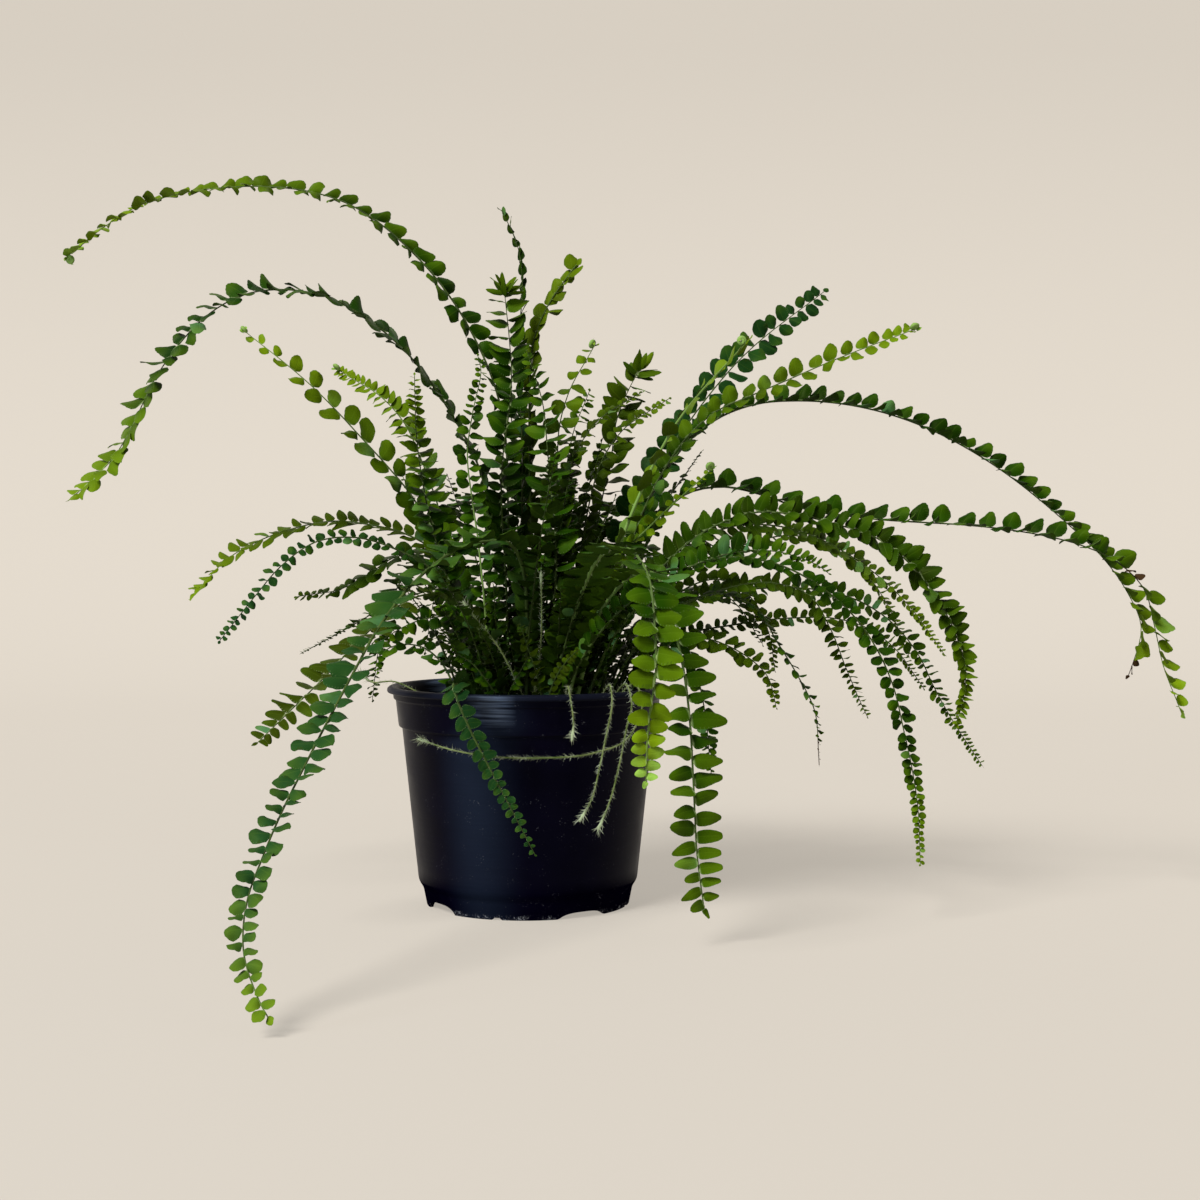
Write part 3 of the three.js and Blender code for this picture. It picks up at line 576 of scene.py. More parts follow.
# Surfaces of two tones in soft clouds, and what lies over them: an attribute or the specks, from where it
# counts, how strongly at most, and its colour
skins = {
    "stem": {"name": "fernStem", "specular": 0.08, "specks": (900.0, 0.45), "clouds": (0.4, 0.62),
             "tones": ((0.008, 0.011, 0.002, 1), (0.024, 0.042, 0.006, 1)), "rough": (0.45, 0.65),
             "over": (("young", 0.2, 0.8, (0.13, 0.22, 0.03, 1)), ("pale", 0.0, 1.0, (0.20, 0.33, 0.08, 1)),
                      ("specks", 0.0, 0.4, (0.20, 0.17, 0.10, 1)),
                      ("wither", 0.0, 1.0, (0.03, 0.018, 0.01, 1)))},
    "runner": {"name": "runnerSkin", "specular": 0.15, "specks": (1200.0, 0.5), "clouds": (0.35, 0.65),
               "tones": ((0.06, 0.09, 0.018, 1), (0.14, 0.18, 0.06, 1)), "rough": (0.5, 0.75),
               "over": (("pale", 0.0, 1.0, (0.34, 0.42, 0.24, 1)),
                        ("specks", 0.0, 0.5, (0.30, 0.22, 0.10, 1)))},
    "hair": {"name": "paleHair", "specular": 0.1, "specks": (700.0, 0.3), "clouds": (0.35, 0.65),
             "tones": ((0.20, 0.22, 0.12, 1), (0.40, 0.45, 0.33, 1)), "rough": 0.7, "over": ()},
    "soil": {"name": "pottingMix", "specular": 0.1, "specks": (500.0, 0.5), "clouds": (0.35, 0.65),
             "tones": ((0.005, 0.003, 0.002, 1), (0.020, 0.013, 0.008, 1)), "rough": (0.75, 0.95),
             "over": (("specks", 0.0, 0.6, (0.07, 0.05, 0.035, 1)),), "bump": (0.6, 0.001)},
}


def skinMaterial(look):
    material, tree, shader = newMaterial(look["name"], {"Specular IOR Level": look["specular"]})
    specks, cloud = speckles(tree, *look["specks"])
    colour = blend(tree, ranged(tree, cloud, *look["clouds"]), *look["tones"])
    for source, low, most, over in look["over"]:
        mask = specks if source == "specks" else attributeOf(tree, source)
        colour = blend(tree, ranged(tree, mask, low, 1.0, 0.0, most), colour, over)
    tree.links.new(colour, shader["Base Color"])
    if isinstance(look["rough"], tuple):
        tree.links.new(ranged(tree, cloud, 0.3, 0.7, *look["rough"]), shader["Roughness"])
    else:
        shader["Roughness"].default_value = look["rough"]
    if "bump" in look:
        addBump(tree, shader, cloud, *look["bump"])
    return material


potLook = {
    "dark": (0.0004, 0.0001, 0.0026, 1), "light": (0.0010, 0.0006, 0.0046, 1),
    # Painted highlights: the lighter navy of the sheen bands, the pale collar glints and the lip's sheen
    # over its wear
    "paintedSheen": (0.0072, 0.0112, 0.0215, 1),
    "paintedGlint": (0.105, 0.140, 0.210, 1), "wornLipSheen": (0.020, 0.026, 0.040, 1), "dust": (0.20, 0.21, 0.23, 1),
    "tint": (0.55, 0.60, 1.0, 1),
    "sheenBands": 3.0, "sheenAngles": (-0.38, -0.22),    # where the bands lie, below and on the collar, radians
    "collar": (0.10, 0.11),                        # height of the change from wall to collar
    "bump": (0.10, 0.0005),
}


# The moulded wall has three soft lighter bands of painted sheen, painted glints on the collar, a lip
# lightened by painted highlight and wear, and a little dust at its foot
def potMaterial():
    look = potLook
    material, tree, shader = newMaterial("blackPlastic", {"Specular Tint": look["tint"]})
    mask, cloud = speckles(tree, 420.0, 0.12)
    specks, _ = speckles(tree, 1300.0, 0.42)
    grit, _ = speckles(tree, 1500.0, 0.75)
    where = objectPlace(tree)
    split = place(tree, "ShaderNodeSeparateXYZ", {0: where}).outputs
    height = split["Z"]
    stretched = place(tree, "ShaderNodeMapping", {0: where, "Scale": (30.0, 30.0, 700.0)}).outputs[0]
    rings = noiseOf(tree, stretched, 1.0, 2.0)

    # Painted sheen: three soft lighter bands around the wall, one at the front left where the window would
    # reflect, narrower on the collar and weaker lower down
    around = maths(tree, "ARCTAN2", split["X"], times(tree, split["Y"], -1.0))
    centre = ranged(tree, height, *look["collar"], *look["sheenAngles"])
    wave = maths(tree, "COSINE", times(tree, minus(tree, around, centre), look["sheenBands"]))
    sharpness = ranged(tree, height, *look["collar"], 2.2, 4.5)
    paintedSheen = times(tree, maths(tree, "POWER", ranged(tree, wave, 0.15, 1.0), sharpness),
                 ranged(tree, rings, 0.25, 0.75, 0.92, 1.06), ranged(tree, height, 0.0, 0.09, 0.55, 1.0))
    # Painted glint: pale streaks on the collar, inside the sheen band
    glintMask = times(tree, ranged(tree, rings, 0.38, 0.66), ranged(tree, height, 0.106, 0.118, 0.0, 0.9),
                   ranged(tree, paintedSheen, 0.45, 1.0))
    # Painted highlight with wear: the lip lighter navy all around
    lip = ranged(tree, height, 0.1235, 0.1255, 0.0, 0.2)
    dust = times(tree, mask, ranged(tree, height, 0.012, 0.004, 0.12, 0.8))
    for more in (times(tree, specks, ranged(tree, cloud, 0.42, 0.62, 0.05, 0.4)),
                 times(tree, grit, ranged(tree, height, 0.0035, 0.0015))):
        dust = maths(tree, "MAXIMUM", dust, more)
    colour = layered(
        tree, look["dark"], (ranged(tree, cloud, 0.35, 0.7), look["light"]), (paintedSheen, look["paintedSheen"]),
        (glintMask, look["paintedGlint"]), (lip, look["wornLipSheen"]), (dust, look["dust"]))
    tree.links.new(colour, shader["Base Color"])
    rough = plus(tree, ranged(tree, cloud, 0.3, 0.7, 0.30, 0.44), times(tree, dust, 0.4))
    tree.links.new(rough, shader["Roughness"])
    tree.links.new(ranged(tree, height, 0.0145, 0.022, 0.0, 0.045), shader["Specular IOR Level"])
    addBump(tree, shader, plus(tree, rings, times(tree, cloud, 1.5)), *look["bump"])
    return material


materials = {"leaf": leafMaterial(), "pot": potMaterial()}
materials.update((part, skinMaterial(look)) for part, look in skins.items())
print("materials", len(materials))


# Geometry Nodes: bristles on a tube, a leafy stem, a hairy runner, and crumbs on soil

growth = {                   # pairs are the least and most of a random size
    "bristle": (0.45, 1.25), "leaflet": (0.80, 1.08), "crumb": (0.25, 1.0),
    "anyTurn": 3.1,          # radians either way
    "bareBelow": 0.0001,     # a station with a smaller leaflet than this carries none
    "crumbsAbove": 0.6,      # crumbs lie where the surface faces up more than this
    "sides": {"stem": 7, "runner": 10},
    "hairs": {"stem": (0.00008, 0.6, 0.2), "runner": (0.00010, 0.55, 0.9)},    # radius, slant, forward
}


def named(tree, name, kind="FLOAT"):
    return place(tree, "GeometryNodeInputNamedAttribute", {0: name}, data_type=kind).outputs[0]


def randomly(tree, kind, low, high, seed):
    first, out = {"FLOAT_VECTOR": (0, 0), "FLOAT": (2, 1), "INT": (4, 2)}[kind]
    inputs = {first: low, first + 1: high, 8: seed}
    return place(tree, "FunctionNodeRandomValue", inputs, data_type=kind).outputs[out]


# A random turn of up to most about each axis
def jittered(tree, rotation, most, seed):
    turn = randomly(tree, "FLOAT_VECTOR", scaled(tree, most, -1.0), most, seed)
    turn = place(tree, "FunctionNodeEulerToRotation", {0: turn}).outputs[0]
    return place(tree, "FunctionNodeRotateRotation", {"Rotation": rotation, "Rotate By": turn},
                 rotation_space="LOCAL").outputs[0]


def anyOf(tree, collection):
    return place(tree, "GeometryNodeCollectionInfo", {
        "Collection": collection, "Separate Children": True, "Reset Children": True}).outputs[0]


def painted(tree, geometry, material):
    return place(tree, "GeometryNodeSetMaterial", {0: geometry, "Material": material}).outputs[0]


def realized(tree, instances):
    return place(tree, "GeometryNodeRealizeInstances", {0: instances}).outputs[0]


def joined(tree, *parts):
    node = tree.nodes.new("GeometryNodeJoinGeometry")
    for part in parts:
        tree.links.new(part, node.inputs[0])
    return node.outputs[0]


def bristleTree():
    tree, given, out = geometryTree("bristles", {
        "Float": ("Density", "Length", "Thickness", "Slant", "Forward"), "Int": ("Seed",),
        "Material": ("Material",)})
    seed = given["Seed"]
    spots = place(tree, "GeometryNodeDistributePointsOnFaces", {
        "Mesh": given["Geometry"], "Density": given["Density"], "Seed": seed}).outputs
    spike = place(tree, "GeometryNodeMeshCone", {
        "Vertices": 3, "Radius Bottom": given["Thickness"], "Depth": given["Length"]},
        fill_type="NGON").outputs[0]
    points = place(tree, "GeometryNodeCaptureAttribute", {"Geometry": spots["Points"]})
    points.capture_items.new("ROTATION", "Rotation")
    points.capture_items.new("VECTOR", "Normal")
    tree.links.new(spots["Rotation"], points.inputs["Rotation"])
    tree.links.new(spots["Normal"], points.inputs["Normal"])
    onward = scaled(tree, named(tree, "along", "FLOAT_VECTOR"), given["Forward"])
    aimed = place(tree, "FunctionNodeAlignRotationToVector", {
        "Rotation": points.outputs["Rotation"], "Factor": 1.0,
        "Vector": vectorMaths(tree, "ADD", points.outputs["Normal"], onward)}, axis="Z").outputs[0]
    slant = place(tree, "ShaderNodeCombineXYZ", {
        0: given["Slant"], 1: given["Slant"], 2: growth["anyTurn"]}).outputs[0]
    size = randomly(tree, "FLOAT", *growth["bristle"], seed)
    spikes = place(tree, "GeometryNodeInstanceOnPoints", {
        "Points": points.outputs["Geometry"], "Instance": spike,
        "Rotation": jittered(tree, aimed, slant, seed),
        "Scale": times(tree, size, plus(tree, named(tree, "fuzz"), 1.0))}).outputs[0]
    tree.links.new(painted(tree, realized(tree, spikes), given["Material"]), out[0])
    return tree


bristles = bristleTree()


def bristlesOn(tree, tube, given, part):
    thickness, slant, forward = growth["hairs"][part]
    inputs = {"Geometry": tube, "Density": given["Hair Density"], "Length": given["Hair Length"],
              "Seed": given["Seed"], "Material": given["Hair Material"],
              "Thickness": thickness, "Slant": slant, "Forward": forward}
    return place(tree, "GeometryNodeGroup", inputs, node_tree=bristles).outputs[0]


def tubeAlong(tree, given, part):
    curve = place(tree, "GeometryNodeMeshToCurve", {0: given["Geometry"]}).outputs[0]
    ring = place(tree, "GeometryNodeCurvePrimitiveCircle", {
        "Resolution": growth["sides"][part], "Radius": 1.0}).outputs[0]
    tube = place(tree, "GeometryNodeCurveToMesh", {
        "Curve": curve, "Profile Curve": ring, "Scale": named(tree, "girth"), "Fill Caps": True}).outputs[0]
    return painted(tree, tube, given["Stem Material"])


def leafyStemTree():
    tree, given, out = geometryTree("leafyStem", {
        "Collection": ("Leaflets",), "Int": ("Variants", "Seed"),
        "Float": ("Twist", "Lift", "Lean", "Hair Density", "Hair Length"),
        "Material": ("Leaf Material", "Stem Material", "Hair Material")})
    seed = given["Seed"]
    along, side = named(tree, "along", "FLOAT_VECTOR"), named(tree, "side", "FLOAT_VECTOR")
    size, fold = named(tree, "size"), named(tree, "fold")
    index = place(tree, "GeometryNodeInputIndex").outputs[0]
    isRight = maths(tree, "MODULO", index, 2.0)
    normal = vectorMaths(tree, "CROSS_PRODUCT", along, side)
    sideways = scaled(tree, side, minus(tree, 1.0, times(tree, isRight, 2.0)))
    cosine, sine = maths(tree, "COSINE", fold), maths(tree, "SINE", fold)
    outward = vectorMaths(tree, "ADD", scaled(tree, sideways, cosine), scaled(tree, normal, sine))
    reach = vectorMaths(tree, "ADD", outward, scaled(tree, along, named(tree, "forward")))
    upward = vectorMaths(tree, "SUBTRACT", scaled(tree, normal, cosine), scaled(tree, sideways, sine))
    sky = place(tree, "ShaderNodeCombineXYZ", {2: named(tree, "tilt")}).outputs[0]
    upward = vectorMaths(tree, "ADD", upward, sky)
    upward = vectorMaths(tree, "SUBTRACT", upward, scaled(tree, along, named(tree, "lap")))
    rotation = place(tree, "FunctionNodeAxesToRotation", {0: reach, 1: upward}, primary_axis="X",
                     secondary_axis="Z").outputs[0]
    most = place(tree, "ShaderNodeCombineXYZ", {
        0: given["Twist"], 1: given["Lift"], 2: given["Lean"]}).outputs[0]
    variant = randomly(tree, "INT", 0, minus(tree, given["Variants"], 1.0), seed)
    blades = place(tree, "GeometryNodeInstanceOnPoints", {
        "Points": given["Geometry"], "Selection": maths(tree, "GREATER_THAN", size, growth["bareBelow"]),
        "Instance": anyOf(tree, given["Leaflets"]), "Pick Instance": True,
        "Instance Index": plus(tree, times(tree, variant, 2.0), isRight),
        "Rotation": jittered(tree, rotation, most, seed),
        "Scale": times(tree, size, randomly(tree, "FLOAT", *growth["leaflet"], seed))}).outputs[0]
    blades = place(tree, "GeometryNodeStoreNamedAttribute", {
        "Geometry": blades, "Name": "tint", "Value": randomly(tree, "FLOAT", 0.0, 1.0, seed)},
        data_type="FLOAT", domain="INSTANCE").outputs[0]
    blades = painted(tree, realized(tree, blades), given["Leaf Material"])
    tube = tubeAlong(tree, given, "stem")
    hairs = bristlesOn(tree, tube, given, "stem")
    tree.links.new(joined(tree, hairs, tube, blades), out[0])
    return tree


def runnerTree():
    tree, given, out = geometryTree("hairyRunner", {
        "Int": ("Seed",), "Float": ("Hair Density", "Hair Length"),
        "Material": ("Stem Material", "Hair Material")})
    tube = tubeAlong(tree, given, "runner")
    hairs = bristlesOn(tree, tube, given, "runner")
    tree.links.new(joined(tree, hairs, tube), out[0])
    return tree


def crumbTree():
    tree, given, out = geometryTree("crumbs", {
        "Collection": ("Crumbs",), "Int": ("Variants", "Seed"), "Float": ("Density", "Size"),
        "Material": ("Material",)})
    seed = given["Seed"]
    normal = place(tree, "GeometryNodeInputNormal").outputs[0]
    upward = place(tree, "ShaderNodeSeparateXYZ", {0: normal}).outputs["Z"]
    spots = place(tree, "GeometryNodeDistributePointsOnFaces", {
        "Mesh": given["Geometry"], "Selection": maths(tree, "GREATER_THAN", upward, growth["crumbsAbove"]),
        "Density": given["Density"], "Seed": seed}).outputs
    most = growth["anyTurn"]
    turn = randomly(tree, "FLOAT_VECTOR", (-most, -most, -most), (most, most, most), seed)
    crumbs = place(tree, "GeometryNodeInstanceOnPoints", {
        "Points": spots["Points"], "Instance": anyOf(tree, given["Crumbs"]), "Pick Instance": True,
        "Instance Index": randomly(tree, "INT", 0, minus(tree, given["Variants"], 1.0), seed),
        "Rotation": place(tree, "FunctionNodeEulerToRotation", {0: turn}).outputs[0],
        "Scale": times(tree, randomly(tree, "FLOAT", *growth["crumb"], seed), given["Size"])}).outputs[0]
    whole = joined(tree, realized(tree, crumbs), given["Geometry"])
    tree.links.new(painted(tree, whole, given["Material"]), out[0])
    return tree


trees = {"leafyStem": leafyStemTree(), "runner": runnerTree(), "crumbs": crumbTree()}


# Fronds: what a user would change, for a plain frond and for those that differ

plainFrond = {
    "leaflets": "button",    # which leaflets it carries
    "pitch": 0.72,           # spacing of leaflets on one side, in leaflet lengths
    "sparse": 0.0,           # how much wider that spacing gets towards the tip
    "grow": 1.02,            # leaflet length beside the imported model's
    "bare": 0.35,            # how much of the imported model's bare stalk stays bare
    "taper": 2.4,            # how late the leaflets shrink towards the tip
    "footSize": 0.38,        # the lowest leaflets, as a share of the longest
    "tipSize": 0.30,         # the last leaflets, as a share of the longest
    "forward": 0.18,         # how far the leaflets point to the tip
    "fold": None,            # degrees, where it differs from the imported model
    "tilt": 1.4,             # how far the leaflets turn to the sky
    "lap": 0.25,             # how far they lap each other like shingles
    "twist": 30.0,           # how far they turn at random about their own length, degrees
    "lift": 15.0,            # and up and down
    "lean": 13.0,            # and forwards and backwards
    "shade": 0.45,           # 0 dark green, 1 bright green
    "cool": (0.0, 0.0, 1),   # bluish green at the foot and at the tip, and how late it comes
    "olive": 0.0,            # brownish green
    "young": (0.0, 0.25, 5),    # lime at the foot and at the tip of the blade, and how late it comes
    "wither": (2.0, 3.0),    # the stretch of the blade that is dead, past 1 none
    "curl": 0.0,             # turns of the tip's crozier, below 0 downwards
    "pale": 0.10,            # pale hairy stem
    "dotted": 0.12,          # pale dots along the leaflets' margins
    "girth": 1.0,            # thickness of the stem in the blade
}
frondLooks = {
    "frond_front_left_trailing": dict(
        pitch=0.7, grow=1.19, shade=0.7, olive=0.1, taper=0.85, cool=(0.1, 1.1, 0.8), tilt=0.3,
        young=(0.05, 0.8, 12), twist=14, tipSize=0.4, sparse=0.1, forward=0.24, fold=24, girth=1.4,
        pale=0.2),
    "frond_front_right_lime": dict(
        leaflets="strap", pitch=0.52, grow=0.84, taper=4.0, tilt=0.1, lap=0.2, shade=0.7,
        young=(0.02, 1.75, 8), twist=16, lift=9, pale=0.45, forward=0.0, tipSize=0.42, girth=1.6,
        sparse=0.4, footSize=0.85),
    "frond_front_right_hanging": dict(
        leaflets="oblong", pitch=0.56, grow=1.18, taper=1.8, tilt=0.2, tipSize=0.6, shade=0.92,
        young=(0.03, 0.4, 3), twist=26, forward=-0.05, girth=1.5, pale=0.3),
    "frond_front_over_pot": dict(
        leaflets="broad", pitch=0.74, grow=1.08, taper=1.1, tipSize=0.22, tilt=0.1, lap=0.1, shade=0.5,
        cool=(0.7, 0.7, 1), young=(0.03, 0.12, 3), twist=18, pale=0.25, forward=0.3, sparse=0.3, girth=1.2,
        dotted=0.5),
    "frond_left_high_arch": dict(
        leaflets="fin", pitch=1.22, grow=0.9, fold=24, tilt=0.4, taper=3, tipSize=0.66, shade=0.42,
        young=(0.0, 1.25, 3.4), curl=-1.2, twist=20, forward=0.15, sparse=-0.3),
    "frond_left_wide_arch": dict(
        leaflets="wing", pitch=0.56, grow=1.22, taper=4, tipSize=0.6, shade=0.5, tilt=0.5,
        cool=(0.0, 0.2, 1), young=(0.0, 0.9, 6), forward=0.35),
    "frond_left_rising": dict(
        leaflets="shell", pitch=0.66, sparse=2.0, grow=0.88, shade=0.6, young=(0.0, 1.05, 2.0), curl=0.8,
        tipSize=0.42, taper=1.8, tilt=0.3, olive=0.1, fold=42, twist=20),
    "frond_left_back_rising": dict(
        leaflets="wing", grow=1.2, pitch=0.55, shade=0.6, young=(0.0, 0.95, 2.6), curl=1.0, pale=0.4,
        olive=0.1, tipSize=0.42),
    "frond_left_inner_rising": dict(
        leaflets="wing", shade=0.55, young=(0.0, 0.7, 4), grow=1.06, pitch=0.55),
    "frond_left_low_arch_back": dict(
        leaflets="wedge", pitch=0.62, shade=0.5, olive=0.6, grow=1.1, young=(0.0, 0.8, 3), tipSize=0.6,
        twist=13, forward=0.4),
    "frond_left_low_arch_front": dict(
        pitch=0.95, shade=0.3, cool=(0.0, 0.9, 2), young=(0.0, 0.1, 3), grow=0.7, tipSize=0.55, tilt=1.0),
    "frond_left_short_back": dict(shade=0.4, olive=0.3),
    "frond_left_thin_back": dict(leaflets="wedge", shade=0.3),
    "frond_front_left_short": dict(
        leaflets="oblong", pitch=0.52, grow=1.18, shade=0.1, tilt=0.2, olive=0.6, tipSize=0.5, taper=3,
        twist=18, young=(0.0, 0.05, 3), dotted=0.3),
    "frond_top_thin": dict(
        leaflets="wedge", pitch=0.9, grow=1.7, shade=0.15, forward=2.6, taper=1.0, tipSize=0.5,
        young=(0.0, 0.2, 6), sparse=0.3, twist=60),
    "frond_top_bushy": dict(
        leaflets="wing", shade=0.4, young=(0.0, 0.3, 6), grow=1.0, twist=42, tipSize=0.8, pitch=0.5,
        taper=4, tilt=1.5, forward=0.35),
    "frond_top_leaning": dict(
        pitch=0.8, grow=0.95, shade=0.4, olive=0.6, forward=1.7, twist=22, young=(0.0, 0.5, 3), tipSize=0.9,
        girth=1.4),
    "frond_middle_broad": dict(leaflets="wing", shade=0.5, tilt=1.5, grow=1.0),
    "frond_middle_curled": dict(
        grow=1.1, shade=0.5, young=(0.02, 0.6, 4), curl=1.0, tipSize=0.5, sparse=0.7, olive=0.2),
    "frond_middle_crested": dict(
        leaflets="wedge", shade=0.4, olive=0.4, grow=1.2, tipSize=0.8, twist=55, pitch=0.5, forward=0.5),
    "frond_middle_pale_stem": dict(pale=0.8, tilt=1.3),
    "frond_middle_right_inner": dict(olive=0.5, shade=0.4),
    "frond_middle_right_tip": dict(olive=0.4, young=(0.0, 0.4, 4)),
    "frond_right_upright_dark": dict(
        shade=0.35, cool=(0.45, 0.45, 1), young=(0.0, 0.1, 4), grow=1.2, tilt=0.6, tipSize=0.55),
    "frond_right_upright_light": dict(
        leaflets="oval", pitch=1.05, shade=0.8, olive=0.2, pale=1.0, young=(0.2, 0.75, 1.6), curl=0.9,
        grow=1.35, tipSize=0.7, tilt=1.6, twist=55, girth=1.9, forward=0.6),
    "frond_right_curled_tip": dict(
        leaflets="shell", pitch=1.05, shade=0.55, young=(0.0, 0.8, 2.4), curl=1.3, tipSize=0.45, taper=3,
        olive=0.2, grow=0.86, tilt=0.3, fold=30),
    "frond_right_high_arch": dict(
        leaflets="shell", pitch=1.02, grow=1.0, tilt=0.2, taper=5, tipSize=0.8, shade=0.42,
        young=(0.0, 1.1, 9), wither=(0.97, 1.2), twist=22, lift=12),
    "frond_right_wide_arch": dict(
        leaflets="shell", pitch=1.06, grow=1.0, tilt=0.2, taper=3.5, tipSize=0.55, young=(0.0, 1.3, 8),
        wither=(0.8, 0.83), twist=22, lift=12, sparse=0.2),
    "frond_right_drooping_front": dict(
        leaflets="wing", pitch=0.52, grow=0.95, shade=0.4, olive=0.2, young=(0.0, 0.6, 7), tilt=0.5,
        taper=3, twist=38, forward=0.3),
    "frond_right_long_hanging": dict(pitch=0.78, shade=0.42, young=(0.0, 0.6, 7), tilt=0.3),
    "frond_right_low_long": dict(leaflets="oval", pitch=0.64, tilt=1.3, olive=0.2, grow=0.88),
    "frond_right_low_back": dict(leaflets="oval", pitch=0.66, tilt=1.6, olive=0.4, grow=0.85),
    "frond_right_drooping_back": dict(
        leaflets="oval", pitch=0.6, grow=0.95, young=(0.0, 0.6, 3), olive=0.3, tilt=0.9),
    "frond_right_far_back": dict(
        leaflets="oval", pitch=0.6, grow=0.95, young=(0.0, 0.6, 3), olive=0.3, tilt=0.9),
    "frond_right_thin_hanging": dict(leaflets="wedge", pitch=1.0, shade=0.25, wither=(0.93, 1.2)),
    "frond_right_comb": dict(leaflets="wedge", olive=0.4, shade=0.4, pitch=0.66),
    "frond_right_short_low": dict(shade=0.55, olive=0.3, young=(0.05, 0.5, 2)),
    "frond_right_short_middle": dict(olive=0.4, young=(0.0, 0.3, 2)),
    "frond_right_young": dict(shade=0.7, young=(0.25, 0.9, 1.2), curl=1.3, pale=0.8, sparse=0.9, girth=1.4),
    "frond_right_broad_front": dict(
        leaflets="oval", pitch=0.56, grow=0.84, shade=0.38, tilt=0.7, twist=38, forward=0.3),
    "tuft_front_middle": dict(shade=0.15, olive=0.5, young=(0.0, 0.05, 1), grow=0.8),
    "tuft_front_left": dict(shade=0.35, young=(0.0, 0.1, 1)),
    "tuft_middle_right": dict(shade=0.35, young=(0.0, 0.1, 1)),
}
stemShape = {
    "footRadius": 0.95 * millimetre,
    "tipRadius": 0.22 * millimetre,
    "thinning": 0.8,         # how early the stem gets thin
    "stipeStep": 6 * millimetre,
    "stipeGap": 2 * millimetre,    # least distance from a bare station to the first leaflet
    "footGain": 2.6,         # how soon the lowest leaflets reach full length
    "lastLeaflet": 0.6,      # the leaflet at the very tip, beside its neighbours
    "lastForward": 2.5,      # and how far it points onward
    "leastStep": 0.5,        # leaflets don't crowd closer than this share of the widest spacing
    "witherShrink": 0.45,    # how much smaller dead leaflets are
    "paleReach": 1.2,        # the stem's paleness fades over one blade's length and would end here
    "coilRadius": 2.5 * millimetre,
    "coilStep": 0.9 * millimetre,
    "coilClosing": 0.65,     # how much narrower the crozier gets
    "coilLeaflet": 3.2 * millimetre,
    "coilShrink": 0.4,       # how much smaller its inner leaflets are
    "coilEvery": 5,          # stations from one rolled leaflet to the next
    "coilGirth": 1.15 * millimetre,
    "coilThick": (0.4, 2.0),    # share of that girth at its start, and how fast it gets full
    "coilFold": 0.6,
    "coilForward": 0.5,
    "coilYoung": 0.5,        # how much younger and paler a crozier is
    "coilPale": 0.6,
    "hairs": 60000.0,        # on a square metre of stem
    "hairLength": 1.4 * millimetre,
}


# The stations along a stem: bare ones on the stalk, then one for each leaflet, right and left in turn
def stemRows(stem, look):
    shape = stemShape
    arc, total = stem["arc"], stem["arc"][-1]
    leaf = (stem["leaf"] - shape["tipRadius"]) * look["grow"]
    first = look["bare"] * stem["start"]
    at = list(np.arange(0, first - shape["stipeGap"], shape["stipeStep"]))
    sizes = [0.0] * len(at)
    s = first
    while s < total:
        share = (s - first) / (total - first)
        scale = min(1.0, look["footSize"] + shape["footGain"] * share,
                    look["tipSize"] + look["taper"] * (1 - share))
        at.append(s)
        sizes.append(leaf * scale)
        spacing = 0.5 * look["pitch"] * leaf * (1 + look["sparse"] * share ** 2)
        s += spacing * max(scale, shape["leastStep"])
    at = np.array(at)
    thinner = shape["tipRadius"] - shape["footRadius"]
    girth = shape["footRadius"] + thinner * (at / total) ** shape["thinning"]
    rows = {
        "position": between(at, arc, stem["path"]),
        "along": unit(between(at, arc, stem["along"])),
        "side": unit(between(at, arc, stem["side"])),
        "size": np.array(sizes),
        "girth": girth * np.where(at < first, 1.0, look["girth"]),
        "fold": np.full(len(at), stem["fold"] if look["fold"] is None else math.radians(look["fold"])),
        "forward": np.full(len(at), look["forward"]),
        "share": np.clip((at - first) / (total - first), 0, 1),
        "coil": np.zeros(len(at)),
    }
    rows["forward"][-1] = shape["lastForward"]
    rows["size"][-1] *= shape["lastLeaflet"]
    return rows


# A young tip rolls up towards one face of the blade
def addCrozier(rows, turns):
    shape = stemShape
    along, side, where = rows["along"][-1], rows["side"][-1], rows["position"][-1]
    normal = np.cross(along, side) * math.copysign(1, turns)
    count = int(abs(turns) * 2 * math.pi * shape["coilRadius"] / shape["coilStep"])
    angle = 0.0
    extra = {key: [] for key in rows}
    for i in range(count):
        inward = i / count
        angle += shape["coilStep"] / (shape["coilRadius"] * (1 - shape["coilClosing"] * inward))
        heading = math.cos(angle) * along + math.sin(angle) * normal
        where = where + heading * shape["coilStep"]
        leaf = shape["coilLeaflet"] * (1 - shape["coilShrink"] * inward)
        thin, fast = shape["coilThick"]
        station = {
            "position": where, "along": heading, "side": side,
            "size": leaf if i % shape["coilEvery"] == 0 else 0.0,
            "girth": shape["coilGirth"] * min(1.0, thin + fast * inward),
            "fold": shape["coilFold"], "forward": shape["coilForward"], "share": 1.0, "coil": 1.0,
        }
        for key, value in station.items():
            extra[key].append(value)
    return {key: np.concatenate([rows[key], np.array(extra[key])]) for key in rows}


